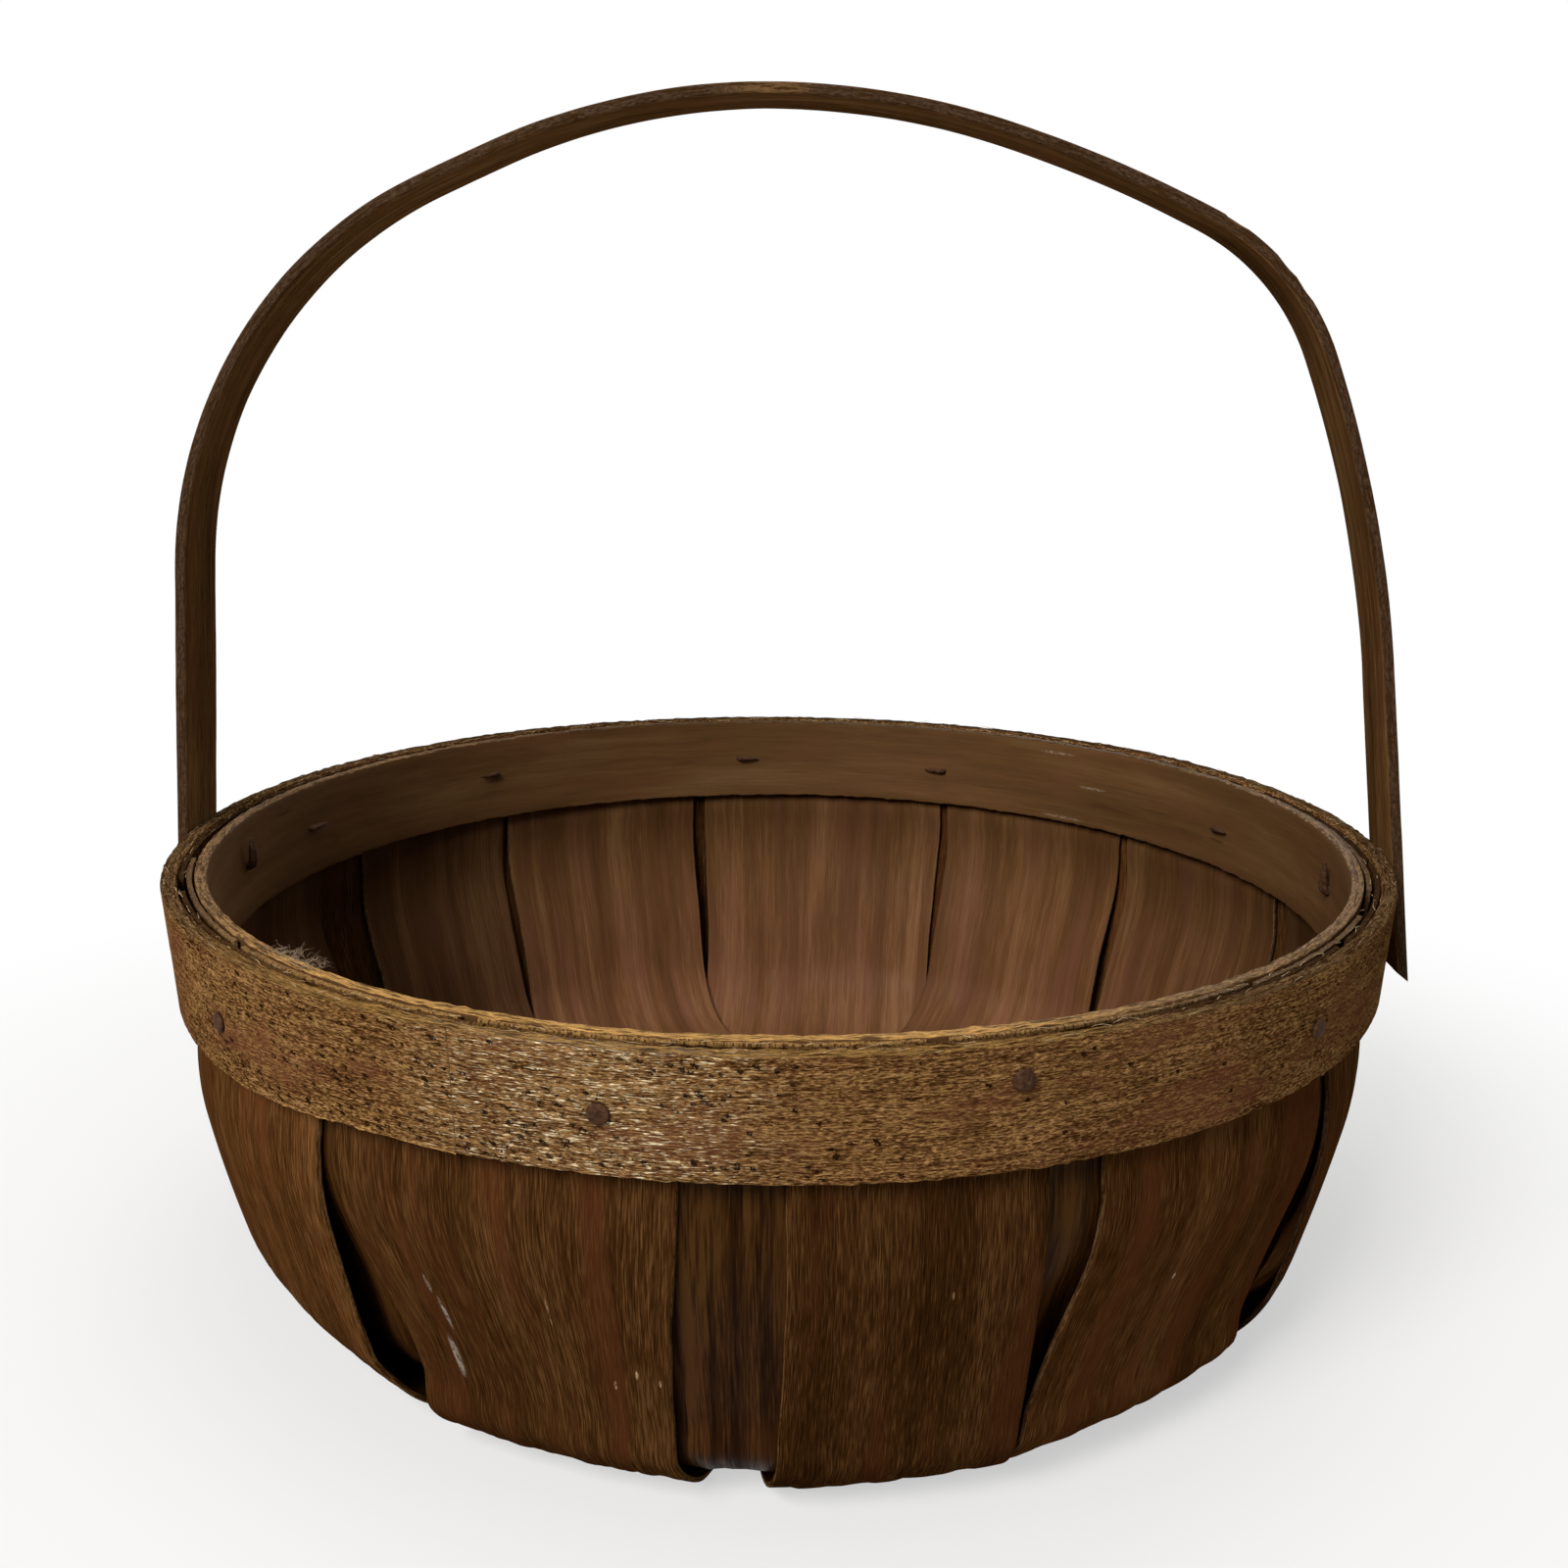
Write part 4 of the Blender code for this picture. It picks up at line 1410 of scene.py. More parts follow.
@dataclass
class Hoop:
    """One hoop of the rim, wound once round and lapped.

    Spans and the widening are in degrees.  Outward is 1 for the outer hoop
    and -1 for the inner one.
    """

    sizes: BasketSizes
    node: str
    seat: float
    thick: float
    outward: float
    lap_end: float
    finish: WoodFinish
    slot: str
    seed: float
    steps: int = 540
    lap_span: float = 40.0
    lap_tip: float = 0.08
    lap_gap: float = 0.02
    rise_span: float = 15.0
    edge_round: float = 0.5
    column: float = 1.3
    warp: float = 0.7
    wave: float = 0.8
    extra_depth: float = 0.0
    widening: tuple[float, float, float, float] = (300.0, 335.0, 372.0, 396.0)

    def extra(self, turned: float) -> float:
        """How much deeper the strip is after it has turned so far."""
        return self.extra_depth * swell(turned, *self.widening)

    def lap(self, turned: float) -> tuple[float, float]:
        """Work out the feathered lap.

        Args:
            turned: Degrees from the start of the strip.

        Returns:
            Set-off from the seat and thickness, both in millimetres.
        """
        wall = self.sizes.wall(self.thick)
        feather = (wall - self.lap_tip) / self.lap_span
        if turned > 360.0:
            thinned = feather * (turned - 360.0)
            return self.lap_tip + thinned + self.lap_gap, wall - thinned
        rise = (turned - 360.0 + self.rise_span) / self.rise_span
        offset = (self.lap_tip + self.lap_gap) * min(max(rise, 0.0), 1.0)
        return offset, min(wall, self.lap_tip + feather * turned)

    def build(self, graph: HoopGraph) -> bpy.types.Object:
        """Build the hoop and hide its solid.

        Args:
            graph: The tree that sweeps a hoop.

        Returns:
            The hoop.
        """
        sizes, wall = self.sizes, self.sizes.wall(self.thick)
        points: list[Vector] = []
        marks: dict[str, list[float]] = {"seat": [], "thick_share": [], "extra_depth": []}
        for step in range(self.steps + 1):
            turned = (360.0 + self.lap_span) * step / self.steps
            offset, thick = self.lap(turned)
            near = self.seat + self.outward * offset
            way = bearing_vector(self.lap_end - self.lap_span + turned)
            points.append(way * near + UP * sizes.height)
            marks["seat"].append(near * MM)
            marks["thick_share"].append(thick / wall)
            marks["extra_depth"].append(self.extra(turned) * MM)
        marks["along"], marks["tip"] = path_marks(points)
        obj = grow(
            polyline(f"{self.node}_wood", [points], marks),
            graph,
            self.finish.material(),
            profile_x=wall * MM,
            profile_y=sizes.hoop_height * MM,
            shift_x=self.outward * wall / 2.0 * MM,
            shift_y=sizes.hoop_height / 2.0 * MM,
            edge_round=self.edge_round * MM,
            column=self.column * MM,
            seed=self.seed,
            tone=1.0,
            outward=self.outward,
            warp=self.warp * MM,
            wave=self.wave * MM,
        )
        return dress(obj, Body.BASKET, self.slot, self.node)


@dataclass
class Handle:
    """The bent strip that swings on two nails.

    Headings, turn and lean are in degrees.  Runs are shares of the rim's
    radius.  The crown's run takes up what the fit adds.  A nick is a place
    along the strip, a length and a depth.
    """

    sizes: BasketSizes
    finish: WoodFinish
    width: float = 21.6
    thick: float = 3.0
    leg_clear: float = 0.5
    headings: Sequence[float] = (3.5, 65.5, 67.2, 93.9, 106.8, 116.2, 158.1, 172.8)
    runs: Sequence[float] = (0.520, 0.778, 0.125, 0.522, 0.284, 0.353, 0.292, 0.528)
    crown_run: int = 4
    fit_rounds: int = 4
    step: float = 2.4
    tail: float = 22.2
    tip_cut: float = 3.0
    offset: float = -5.0
    turn: float = -3.2
    rest_lean: float = -1.0
    pivot_drop: float = 13.2
    edge_round: float = 0.6
    column: float = 1.2
    seed: float = 31.0
    warp: float = 0.5
    nicks: Sequence[Row] = ((454.3, 3.0, 1.1), (472.0, 2.6, 0.9), (479.0, 2.2, 0.7))
    rows: list[Row] = field(default_factory=list)

    def __post_init__(self) -> None:
        """Find the outline whose right leg lands beside the hoop."""
        stretch = 0.0
        for _ in range(self.fit_rounds):
            self._walk(stretch)
            right = (row for row in self.rows if row[2] > 90.0)
            at_nail = min(right, key=lambda row: abs(row[1]))
            stretch += self.leg_reach(self.headings[-1]) - at_nail[0]
        self._walk(stretch)

    @property
    def axis(self) -> Vector:
        """Unit vector along the two nails, towards the right side."""
        return bearing_vector(self.turn + 90.0)

    @property
    def pivot(self) -> Vector:
        """Point halfway between the two nails."""
        return Vector((0.0, self.offset, self.sizes.height - self.pivot_drop))

    def leg_reach(self, heading: float) -> float:
        """Distance from the middle to a leg's outer face at its nail."""
        slant = abs(math.tan(math.radians(heading)))
        return self.sizes.rim_radius + self.leg_clear + self.thick + self.pivot_drop * slant

    def _walk(self, stretch: float) -> None:
        """Walk along the outer face from the left tip to the right tip.

        Args:
            stretch: What is added to the run over the crown.
        """
        heading, radius = self.headings[0], self.sizes.rim_radius
        tail = self.tail / math.cos(math.radians(heading))
        across = -self.leg_reach(heading) - math.sin(math.radians(heading)) * tail
        self.rows = [(across, -self.tail, heading)]
        self._advance(heading, tail)
        for index, (target, run) in enumerate(zip(self.headings, self.runs)):
            self._advance(target, run * radius + (stretch if index == self.crown_run else 0.0))
        slant = -math.cos(math.radians(self.rows[-1][2]))
        self._advance(self.rows[-1][2], self.rows[-1][1] / slant)
        self._advance(self.rows[-1][2], self.tail / slant)

    def _advance(self, target: float, run: float) -> None:
        """Go on by one run while the heading turns evenly to the target.

        Args:
            target: Heading at the end of the run.
            run: Length of the run in millimetres.
        """
        steps = max(2, round(run / self.step))
        across, up, heading = self.rows[-1]
        turn = (target - heading) / steps
        half = math.radians(turn / 2.0)
        chord = run / steps * (math.sin(half) / half if abs(half) > TINY else 1.0)
        for _ in range(steps):
            middle = math.radians(heading + turn / 2.0)
            across += math.sin(middle) * chord
            up += math.cos(middle) * chord
            heading += turn
            self.rows.append((across, up, heading))

    def build(self, graph: HandleGraph) -> bpy.types.Object:
        """Build the strip, hang it on its nails and hide its solid.

        Args:
            graph: The tree that sweeps the strip.

        Returns:
            The strip.
        """
        points = [Vector((across, 0.0, up)) for across, up, _ in self.rows]
        along, tip = path_marks(points)
        angles = [math.radians(heading) for _, _, heading in self.rows]
        marks = {
            "out": [(-math.cos(angle), 0.0, math.sin(angle)) for angle in angles],
            "heading": [(math.sin(angle), 0.0, math.cos(angle)) for angle in angles],
            "along": along,
            "tip": tip,
            "nick": [max(self._nicked(part, *nick) for nick in self.nicks) for part in along],
            "end_way": [1.0 if part < along[-1] / 2.0 else -1.0 for part in along],
        }
        obj = grow(
            polyline("handle_wood_strip", [points], marks),
            graph,
            self.finish.material(),
            profile_x=self.width * MM,
            profile_y=self.thick * MM,
            shift_y=self.thick / 2.0 * MM,
            edge_round=self.edge_round * MM,
            column=self.column * MM,
            seed=self.seed,
            tone=1.0,
            warp=self.warp * MM,
            trim=self.tip_cut * MM,
        )
        turned = Euler((math.radians(self.rest_lean), 0.0, math.radians(self.turn)), "XYZ")
        obj.data.transform(Matrix.Translation(self.pivot * MM) @ turned.to_matrix().to_4x4())
        return dress(obj, Body.HANDLE, "handle_wood", "handle")

    @staticmethod
    def _nicked(part: float, place: float, length: float, depth: float) -> float:
        """Depth of one nick at a place along the strip, in metres."""
        return depth * MM * max(0.0, 1.0 - abs(part - place * MM) / (length * MM))


@dataclass(frozen=True)
class NailKind:
    """Sizes of one kind of tack or nail, in millimetres."""

    head: float
    head_thick: float
    shank: float
    clinch: float


@dataclass
class RimIron:
    """The tacks through the hoops and the two nails of the handle.

    A tack is a bearing and a share of the hoop's height.  The dome's rise and
    spread are powers, the neck is two depths under the head, and the taper
    gives shares of the clinch and of the shank at them.
    """

    sizes: BasketSizes
    outer: Hoop
    inner: Hoop
    handle: Handle
    finish: IronFinish
    tack: NailKind = NailKind(4.8, 0.9, 1.8, 5.5)
    nail: NailKind = NailKind(6.4, 1.2, 2.6, 6.5)
    dome_steps: int = 7
    dome_start: float = 0.6
    dome_rise: float = 0.8
    dome_spread: float = 0.6
    neck: tuple[float, float] = (0.05, 0.08)
    neck_share: float = 0.9
    bend_steps: int = 5
    fold_gap: float = 0.2
    taper: tuple[tuple[float, float], ...] = ((0.6, 0.8), (1.0, 0.3))
    dent: float = 0.22
    tacks: Sequence[tuple[float, float]] = (
        (-49.5, 0.38), (-12.0, 0.50), (16.8, 0.73), (46.0, 0.50), (114.0, 0.42),
        (157.0, 0.42), (186.0, 0.48), (221.0, 0.55), (253.0, 0.50),
    )

    def build(self, graph: IronGraph) -> list[bpy.types.Object]:
        """Build the tacks as one piece and the nails as another.

        Args:
            graph: The tree that gives the lines their girth.

        Returns:
            The two pieces.
        """
        iron, made = self.finish.material(), []
        tacks = [f"tack_{index + 1}" for index in range(len(self.tacks))]
        nails = ["handle_nail_left", "handle_nail_right"]
        for name, runs, nodes in (
            ("rim_tacks_iron", self._tack_lines(), tacks),
            ("handle_nails_iron", self._nail_lines(), nails),
        ):
            points = [[point for point, _ in run] for run in runs]
            girths = [girth * MM for run in runs for _, girth in run]
            obj = grow(polyline(name, points, {"girth": girths}), graph, iron, dent=self.dent * MM)
            made.append(dress(obj, Body.BASKET, "rusted_iron", *nodes))
        return made

    def _stations(
        self, seat: Vector, inward: Vector, length: float, kind: NailKind, fold: Vector
    ) -> list[tuple[Vector, float]]:
        """Draw a nail from its domed head to its folded tip.

        Args:
            seat: Where the head lies on.
            inward: Direction in which it is driven.
            length: How far it goes before it is folded.
            kind: Sizes of the nail.
            fold: Direction of the folded tip.

        Returns:
            Points and girths along it.
        """
        radius, shank = kind.head / 2.0, kind.shank / 2.0
        under = seat - inward * self.sizes.seat_gap
        rows = []
        for step in range(self.dome_steps):
            share = (step + self.dome_start) / (self.dome_steps - 1 + self.dome_start)
            angle = math.pi / 2.0 * share
            rise = kind.head_thick * math.cos(angle) ** self.dome_rise
            rows.append((under - inward * rise, radius * math.sin(angle) ** self.dome_spread))
        for depth, girth in zip(self.neck, (radius * self.neck_share, shank)):
            rows.append((under + inward * depth, girth))
        bend = shank + self.sizes.seat_gap + self.fold_gap
        corner = seat + inward * length
        for step in range(self.bend_steps + 1):
            angle = math.pi / 2.0 * step / self.bend_steps
            along, aside = bend * math.sin(angle), bend * (1.0 - math.cos(angle))
            rows.append((corner + inward * along + fold * aside, shank))
        folded = corner + (inward + fold) * bend
        for reach, share in self.taper:
            rows.append((folded + fold * kind.clinch * reach, shank * share))
        return rows

    def _face(self, hoop: Hoop, bearing: float) -> float:
        """Find the bare face of a hoop at rim height.

        Args:
            hoop: The hoop.
            bearing: Where round the rim.

        Returns:
            Radius of the face.
        """
        turned = (bearing - hoop.lap_end + hoop.lap_span) % 360.0
        turned += 360.0 if turned < hoop.lap_span else 0.0
        return hoop.seat + hoop.outward * sum(hoop.lap(turned))

    def _tack_lines(self) -> list[list[tuple[Vector, float]]]:
        """Draw every tack.

        Returns:
            Points and girths of each.
        """
        lean = math.radians(self.sizes.hoop_lean)
        runs = []
        for index, (bearing, share) in enumerate(self.tacks):
            outward = bearing_vector(bearing)
            below = self.sizes.hoop_height * (1.0 - share)
            face = self._face(self.outer, bearing)
            length = (face - self._face(self.inner, bearing)) * math.cos(lean)
            seat = outward * (face - below * self.sizes.hoop_tan) + UP * (self.sizes.height - below)
            inward = outward * -math.cos(lean) + UP * math.sin(lean)
            fold = bearing_vector(bearing + (90.0 if index % 2 else -90.0))
            runs.append(self._stations(seat, inward, length, self.tack, fold))
        return runs

    def _nail_lines(self) -> list[list[tuple[Vector, float]]]:
        """Draw both nails of the handle.

        Returns:
            Points and girths of each.
        """
        hang = self.handle
        level = hang.pivot_drop * self.sizes.hoop_tan
        inside = self.inner.seat - self.sizes.wall(self.inner.thick) - level
        middle = Vector((0.0, hang.offset, 0.0))
        runs = []
        for way, heading in ((-1.0, hang.headings[0]), (1.0, hang.headings[-1])):
            slant = abs(math.tan(math.radians(heading)))
            outside = hang.leg_reach(heading) + self.nail.head / 2.0 * slant
            ahead = hang.axis * way
            along = middle.dot(ahead)
            reach = math.sqrt(along**2 - middle.length_squared + inside**2) - along
            seat = hang.pivot + ahead * outside
            runs.append(self._stations(seat, -ahead, outside - reach, self.nail, UP))
        return runs


@dataclass(frozen=True)
class Strands:
    """Strands on a level patch of the rim, so many to the square metre.

    The patch has its bearings, its radii and its height above the rim.  Yaw
    and lift are in radians, and the rest is in millimetres.
    """

    name: str
    finish: FibreFinish
    bearings: tuple[float, float]
    radii: tuple[float, float]
    above: float
    density: float
    strand: float
    girth: float
    yaw: float
    lift: float
    curl: float
    seed: float


TORN_FIBRES = Strands(
    "torn_rim_fibres",
    FibreFinish("torn_fibre_finish", (0.16, 0.10, 0.045), (0.42, 0.30, 0.15)),
    bearings=(-180.0, 180.0),
    radii=(158.5, 164.6),
    above=-0.1,
    density=42000.0,
    strand=5.2,
    girth=0.09,
    yaw=0.25,
    lift=0.12,
    curl=1.2,
    seed=7.0,
)
LINT_TUFT = Strands(
    "lint_tuft",
    FibreFinish("lint_finish", (0.19, 0.125, 0.070), (0.36, 0.26, 0.165)),
    bearings=(-46.5, -39.5),
    radii=(151.5, 156.5),
    above=0.1,
    density=1800000.0,
    strand=3.6,
    girth=0.032,
    yaw=3.1,
    lift=0.32,
    curl=3.6,
    seed=19.0,
)


@dataclass
class RimFibres:
    """Torn fibres along the raw rim and the small tuft of lint on it."""

    sizes: BasketSizes
    kinds: tuple[Strands, ...] = (TORN_FIBRES, LINT_TUFT)
    facet: float = 5.0
    least_facets: int = 6

    def build(self, graph: FibreGraph) -> list[bpy.types.Object]:
        """Build the fibres and the tuft.

        Args:
            graph: The tree that scatters strands.

        Returns:
            The two pieces.
        """
        made = []
        for kind in self.kinds:
            piece = grow(
                self._patch(kind),
                graph,
                kind.finish.material(),
                density=kind.density,
                strand=kind.strand * MM,
                girth=kind.girth * MM,
                yaw=kind.yaw,
                lift=kind.lift,
                curl=kind.curl * MM,
                seed=kind.seed,
            )
            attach(piece, Body.BASKET.value)
            made.append(piece)
        return made

    def _patch(self, kind: Strands) -> bpy.types.Object:
        """Make the level patch of the rim that strands stand on.

        Args:
            kind: The strands.

        Returns:
            The object that carries the patch.
        """
        start, end = kind.bearings
        height = self.sizes.height + kind.above
        steps = max(self.least_facets, round(abs(end - start) / self.facet))
        points, faces = [], []
        for step in range(steps + 1):
            way = bearing_vector(start + (end - start) * step / steps)
            points += [(way * radius + UP * height) * MM for radius in kind.radii]
            if step:
                at = 2 * step
                faces.append((at - 2, at - 1, at + 1, at))
        mesh = bpy.data.meshes.new(kind.name)
        mesh.from_pydata(points, [], faces)
        return add_object(kind.name, mesh)


@dataclass
class Studio:
    """Pale floor, soft lamps and the camera of the photograph, in metres."""

    lens: float = 38.25
    sensor: float = 36.0
    spot: Row = (0.001, -0.4564, 0.2393)
    pitch: float = 13.44
    roll: float = 0.44
    floor_reach: float = 6.0
    floor_drop: float = 0.0002
    floor_tone: Colour = (0.55, 0.54, 0.52)
    floor_glow: float = 0.55
    fade_near: float = 0.16
    fade_far: float = 0.42
    room_light: float = 0.12
    aim: Row = (0.0, 0.0, 0.08)
    # Name, place, size and power of each lamp
    lamps: Sequence[tuple[str, Row, float, float]] = (
        ("window_lamp", (-0.72, -1.25, 1.20), 0.7, 47.0),
        ("ceiling_lamp", (0.0, -0.1, 1.7), 0.9, 12.0),
        ("fill_lamp", (1.4, -1.1, 0.6), 1.4, 2.5),
        ("back_lamp", (0.8, 1.6, 0.9), 1.4, 14.0),
    )

    def build(self) -> None:
        """Make everything that stands round the basket."""
        self._camera()
        self._floor()
        for lamp in self.lamps:
            self._lamp(*lamp)
        self._sky()

    def _camera(self) -> None:
        """Make the camera and look through it."""
        data = bpy.data.cameras.new("photo_camera")
        data.lens = self.lens
        data.sensor_width = self.sensor
        data.clip_start = 0.01
        camera = add_object("photo_camera", data)
        camera.location = self.spot
        tilt = Euler((math.radians(90.0 - self.pitch), 0.0, 0.0)).to_matrix()
        spin = Euler((0.0, 0.0, math.radians(self.roll))).to_matrix()
        camera.rotation_euler = (tilt @ spin).to_euler()
        bpy.context.scene.camera = camera

    def _floor(self) -> None:
        """Lay a wide pale floor that fades to plain white away from the basket."""
        far, down = self.floor_reach, -self.floor_drop
        corners = [(-far, -far, down), (far, -far, down), (far, far, down), (-far, far, down)]
        mesh = bpy.data.meshes.new("studio_floor")
        mesh.from_pydata(corners, [], [(0, 1, 2, 3)])
        made, shader = start_material("pale_floor")
        graph = Graph(made.node_tree)
        plain = {"Base Color": self.floor_tone, "Roughness": 0.95, "Specular IOR Level": 0.1}
        graph.feed(shader.inputs, plain)
        away = graph.vector_math("LENGTH", graph.spot())
        share = away.ease(self.fade_near, self.fade_far) * (1.0 - self.floor_glow)
        share = (share + self.floor_glow) * self._seen_rays(graph)
        glow = graph.node("ShaderNodeEmission", None, {"Strength": 1.0})
        inputs = {0: share, 1: Value(graph, shader.outputs[0]), 2: glow}
        both = graph.node("ShaderNodeMixShader", None, inputs)
        graph.feed(made.node_tree.nodes["Material Output"].inputs, {"Surface": both})
        mesh.materials.append(made)
        add_object("studio_floor", mesh)

    def _lamp(self, name: str, spot: Row, size: float, watts: float) -> None:
        """Hang one square lamp that looks at the basket.

        Args:
            name: Its name.
            spot: Where it hangs.
            size: Length of its side.
            watts: Its power.
        """
        data = bpy.data.lights.new(name, "AREA")
        data.size = size
        data.energy = watts
        lamp = add_object(name, data)
        lamp.location = spot
        aim = Vector(self.aim) - Vector(spot)
        lamp.rotation_euler = aim.to_track_quat("-Z", "Y").to_euler()

    def _sky(self) -> None:
        """Light the room softly and show plain white behind the basket."""
        world = bpy.data.worlds.new("studio_room")
        bpy.context.scene.world = world
        world.use_nodes = True
        world.node_tree.nodes.clear()
        graph = Graph(world.node_tree)
        strength = self._seen_rays(graph) * (1.0 - self.room_light) + self.room_light
        inputs = {"Color": (1.0, 1.0, 1.0), "Strength": strength}
        light = graph.node("ShaderNodeBackground", None, inputs)
        end = world.node_tree.nodes.new("ShaderNodeOutputWorld")
        graph.feed(end.inputs, {"Surface": light})

    @staticmethod
    def _seen_rays(graph: Graph) -> Value:
        """Find the rays that show the backdrop itself.

        Args:
            graph: The tree.

        Returns:
            1 for these rays and 0 for the others.
        """
        rays = ("Is Camera Ray", "Is Glossy Ray", "Is Transmission Ray")
        seen = [graph.node("ShaderNodeLightPath", None, None, ray) for ray in rays]
        return reduce(partial(graph.math, "MAXIMUM"), seen)


HOOP_WOOD = WoodFinish(
    name="outer_hoop_wood_finish",
    dark=(0.031, 0.0110, 0.0027),
    mid=(0.112, 0.048, 0.0155),
    light=(0.350, 0.192, 0.072),
    red=(0.122, 0.042, 0.0190),
    raw=(0.340, 0.185, 0.055),
    grains=(
        Grain(60.0, 12.0, 0.5, 0.2),
        Grain(14.0, 1.3, 0.6, 0.8),
        Grain(11.0, 0.46, 1.3, 1.9, 3.0),
        Grain(1.3, 0.34, 2.5, 2.1),
    ),
    rough=0.48,
    red_share=0.6,
    pores=Pores(),
    flecks=0.8,
    coat=0.4,
    bump=1.0,
    wound=True,
    raw_tip=0.0001,
)
PALE_SCRAPE, DARK_SCRAPE = (0.30, 0.22, 0.15), (0.012, 0.006, 0.002)
INNER_HOOP_WOOD = WoodFinish(
    name="inner_hoop_wood_finish",
    dark=(0.026, 0.012, 0.004),
    mid=(0.076, 0.036, 0.0125),
    light=(0.130, 0.072, 0.030),
    red=(0.084, 0.034, 0.014),
    raw=(0.340, 0.185, 0.055),
    grains=(Grain(90.0, 12.0, 0.9), Grain(50.0, 2.4, 0.4, 0.3), Grain(10.0, 0.6, 0.3, 0.4)),
    rough=0.46,
    specular=0.03,
    wound=True,
    raw_tip=0.0001,
    scuffs=(
        Scuff(24.0, 905.5, -10.4, 16.0, 1.2, PALE_SCRAPE, 0.5),
        Scuff(24.0, 890.3, 0.0, 14.0, 1.2, PALE_SCRAPE, 0.4),
        Scuff(24.0, 901.3, 12.0, 20.0, 1.4, (0.26, 0.19, 0.12), 0.4),
        Scuff(24.0, 831.4, 5.3, 9.0, 1.0, DARK_SCRAPE, 0.9),
        Scuff(24.0, 240.9, -8.8, 12.0, 1.2, DARK_SCRAPE),
    ),
)
GREY_SCRAPE, TAN_NICK = (0.36, 0.31, 0.25), (0.40, 0.28, 0.16)
WALL_WOOD = WoodFinish(
    name="wall_splint_wood_finish",
    dark=(0.012, 0.0045, 0.0011),
    mid=(0.037, 0.0142, 0.0037),
    light=(0.100, 0.046, 0.015),
    red=(0.054, 0.0165, 0.0055),
    raw=(0.085, 0.042, 0.014),
    grains=(
        Grain(220.0, 14.0, 0.8),
        Grain(60.0, 9.0, 0.35),
        Grain(120.0, 2.6, 0.25, 0.2),
        Grain(26.0, 0.8, 0.50, 0.4),
        Grain(6.0, 0.27, 1.8, 1.3),
    ),
    red_share=0.6,
    red_length=90.0,
    bump=0.35,
    raw_edge=0.18,
    raw_ragged=0.12,
    scuffs=(
        Scuff(3.0, -188.5, -22.7, 6.0, 1.2, GREY_SCRAPE, 0.5),
        Scuff(3.0, -180.9, -21.5, 10.0, 1.6, GREY_SCRAPE, 0.5),
        Scuff(3.0, -168.0, -24.5, 14.0, 3.0, GREY_SCRAPE, 0.6),
        Scuff(3.0, -188.8, 11.2, 9.0, 0.7, (0.30, 0.18, 0.09), 0.6),
        Scuff(3.0, -170.6, 25.6, 3.0, 0.9, TAN_NICK),
        Scuff(3.0, -174.5, 31.9, 3.0, 0.9, TAN_NICK),
        Scuff(3.0, -172.9, 38.0, 2.6, 0.9, TAN_NICK),
        Scuff(4.0, -186.7, -7.9, 2.0, 0.9, (0.50, 0.42, 0.32), 0.9),
        Scuff(1.0, -199.7, 7.2, 2.6, 0.7, (0.20, 0.12, 0.06), 0.7),
    ),
)
LINING_WOOD = WoodFinish(
    name="lining_splint_wood_finish",
    dark=(0.030, 0.0115, 0.0033),
    mid=(0.078, 0.034, 0.0125),
    light=(0.180, 0.090, 0.038),
    red=(0.108, 0.044, 0.024),
    raw=(0.220, 0.120, 0.038),
    grains=(
        Grain(160.0, 14.0, 0.9),
        Grain(150.0, 4.0, 0.38, 0.3),
        Grain(60.0, 1.4, 0.30, 0.3),
        Grain(10.0, 0.42, 0.50, 0.3),
    ),
    rough=0.44,
    red_length=60.0,
    specular=0.02,
    # Painted light low on the inner wall and painted shade high up
    low_painted_light=(1.14, 1.11, 1.20),
    high_painted_shade=(0.90, 0.93, 0.85),
    raw_ragged=0.12,
    # Outward face darker: partly its own colour, partly painted shade in the gaps between wall
    # splints
    back_colour_and_light=(0.25, 0.20, 0.11),
    back_grain=4.0,
)
HANDLE_WOOD = WoodFinish(
    name="handle_wood_finish",
    dark=(0.020, 0.0085, 0.0022),
    mid=(0.074, 0.035, 0.0120),
    light=(0.160, 0.086, 0.034),
    red=(0.095, 0.039, 0.015),
    raw=(0.095, 0.051, 0.0205),
    grains=(Grain(70.0, 12.0, 0.8), Grain(60.0, 1.6, 0.6, 0.3), Grain(7.0, 0.5, 0.9, 0.6)),
    raw_edge=0.3,
    bump=0.3,
    # Inner face lighter: painted light
    back_colour_and_light=(1.20, 1.18, 1.1),
)

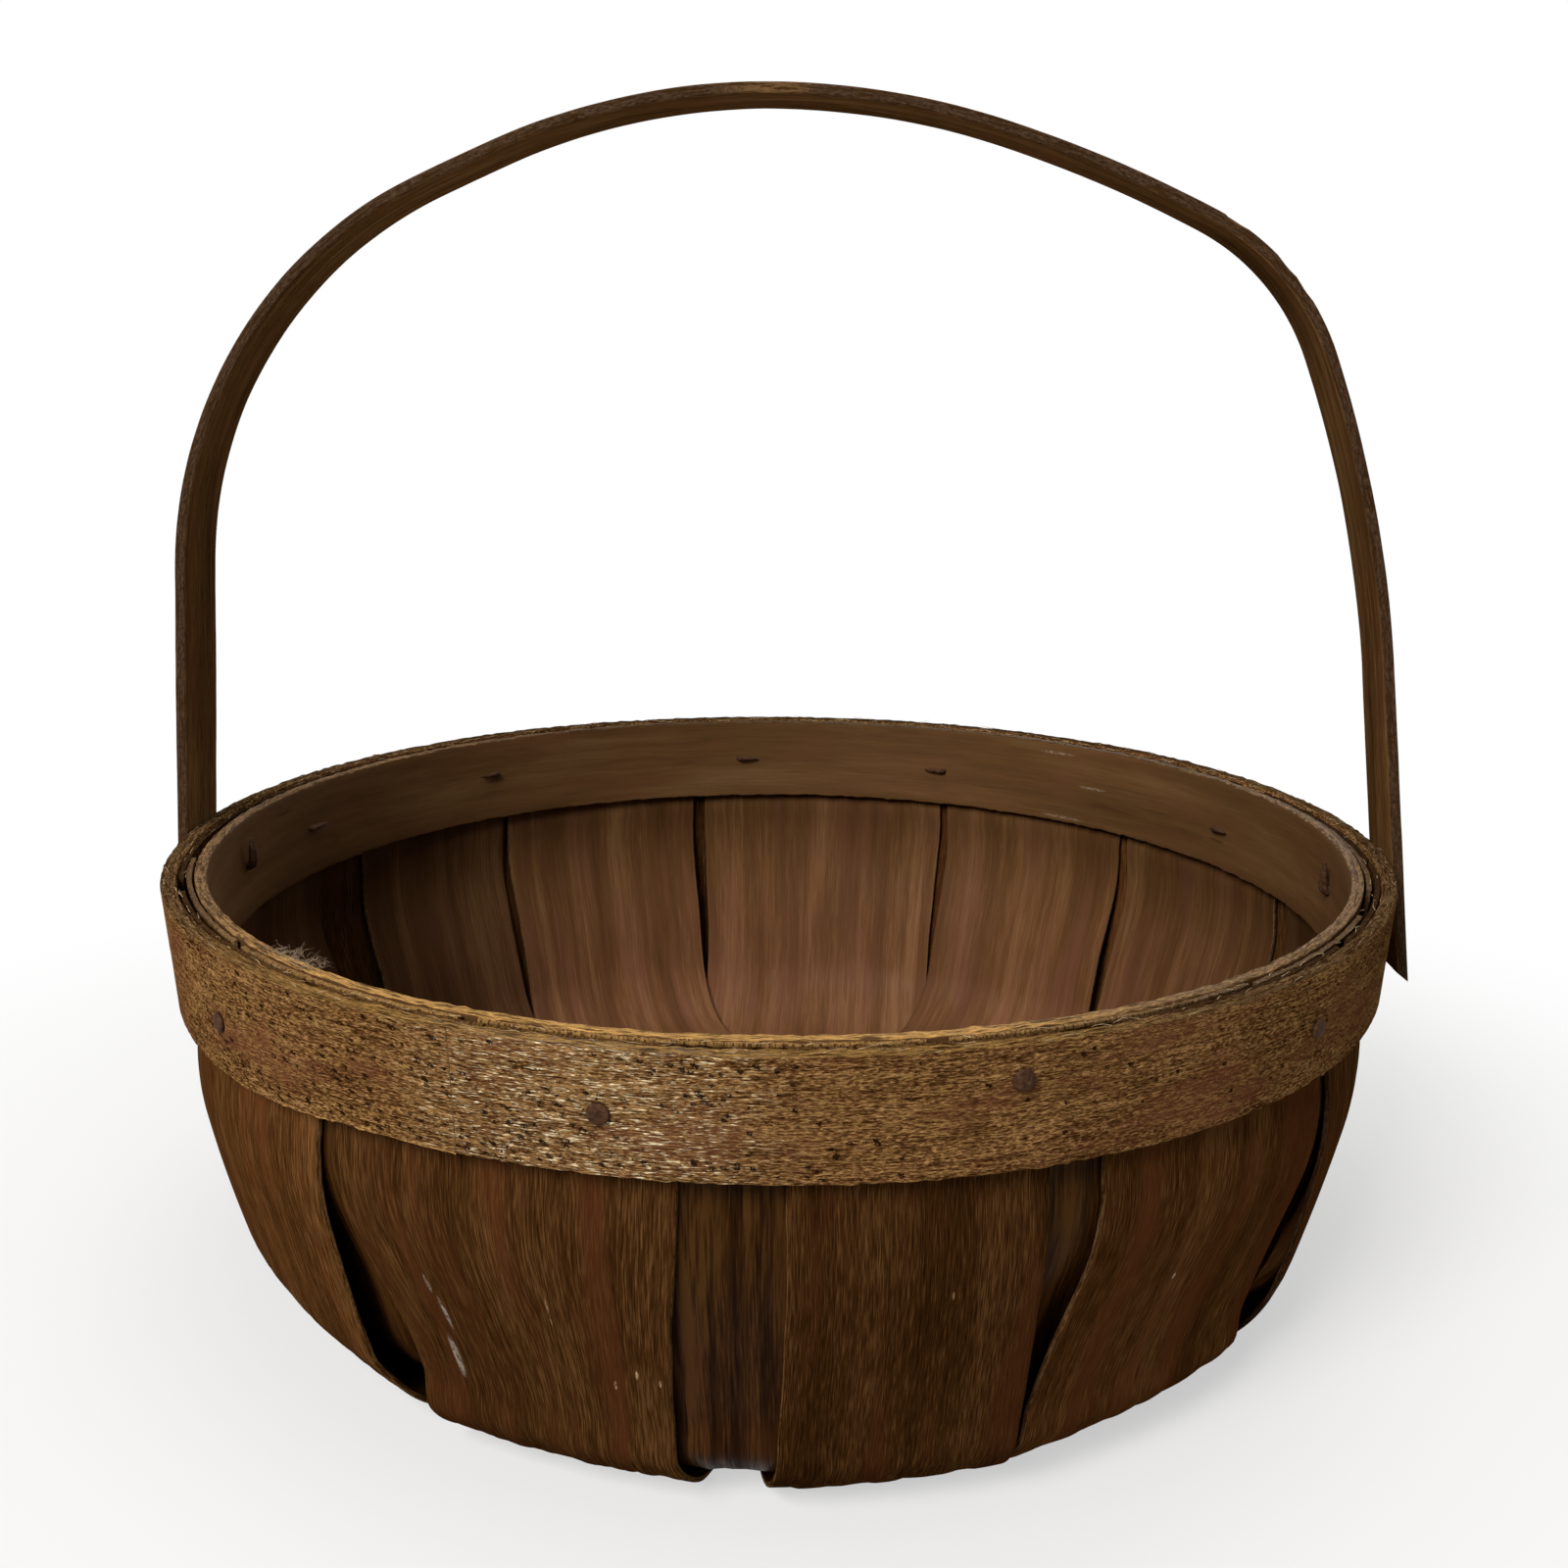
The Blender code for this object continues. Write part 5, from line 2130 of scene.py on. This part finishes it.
WALL_PLANS = (
    SplintPlan(127.0, 28.2, 0.96, back=Half(0.05, -1.29, 2.81, -0.5), tone=1.35),
    SplintPlan(10.5, 19.4, 0.97, Half(0.0, 1.76, -1.17, -0.7), tone=0.8),
    SplintPlan(67.2, 25.0, 0.97, Half(droop=-0.4), tone=1.1),
    SplintPlan(-22.0, 29.4, 0.75, Half(0.06, 3.16, -1.17, -0.7), Half(0.03), tone=0.92),
    SplintPlan(38.7, 27.0, 0.94, Half(-0.12, 2.93, 4.34, -0.6), tone=1.15),
    SplintPlan(95.0, 26.8, 0.95, tone=1.2),
)
# Tones below 1: painted shade on the dim inside of the wall, over the whole splint
LINING_PLANS = (
    SplintPlan(-64.0, 26.4, 0.94, Half(droop=-0.9), tone=0.9),
    SplintPlan(-5.75, 32.0, 0.93, Half(belly=3.3, droop=-0.7)),
    SplintPlan(51.0, 21.8, 0.94, Half(droop=-0.4), tone=0.66),
    SplintPlan(-36.3, 25.0, 0.94, Half(droop=-0.5)),
    SplintPlan(25.5, 26.0, 0.93, Half(droop=-0.7)),
    SplintPlan(85.0, 28.2, 0.94, back=Half(droop=6.0), tone=0.55),
)


def main() -> None:
    """Build the basket piece by piece, then the studio round it."""
    logging.basicConfig(level=logging.INFO, format="%(name)s: %(message)s")
    bpy.context.scene.view_settings.view_transform = "Standard"
    sizes = BasketSizes()
    outline, splints, hoops = WallOutline(sizes), SplintGraph(), HoopGraph(sizes)
    made = []
    for layer, plans, finish, slot in (
        (Layer.WALL, WALL_PLANS, WALL_WOOD, "splint_wood"),
        (Layer.LINING, LINING_PLANS, LINING_WOOD, "lining_wood"),
    ):
        strips = SplintLayer(sizes, outline, layer, plans, len(made), finish, slot)
        made += strips.build(splints)
    outer = Hoop(
        sizes, "outer_hoop", sizes.outer_seat, sizes.outer_thick, 1.0, -23.0,
        HOOP_WOOD, "hoop_wood", 20.0, extra_depth=3.4,
    )
    inner = Hoop(
        sizes, "inner_hoop", sizes.inner_seat, sizes.inner_thick, -1.0, 210.0,
        INNER_HOOP_WOOD, "lining_wood", 24.0, edge_round=0.4, warp=0.5,
    )
    made += [outer.build(hoops), inner.build(hoops)]
    handle = Handle(sizes, HANDLE_WOOD)
    made.append(handle.build(HandleGraph()))
    made += RimIron(sizes, outer, inner, handle, IronFinish()).build(IronGraph())
    made += RimFibres(sizes).build(FibreGraph())
    for obj in made:
        LOG.info("%s: %d faces", obj.name, len(obj.data.polygons))
    Studio().build()


if __name__ == "__main__":
    main()
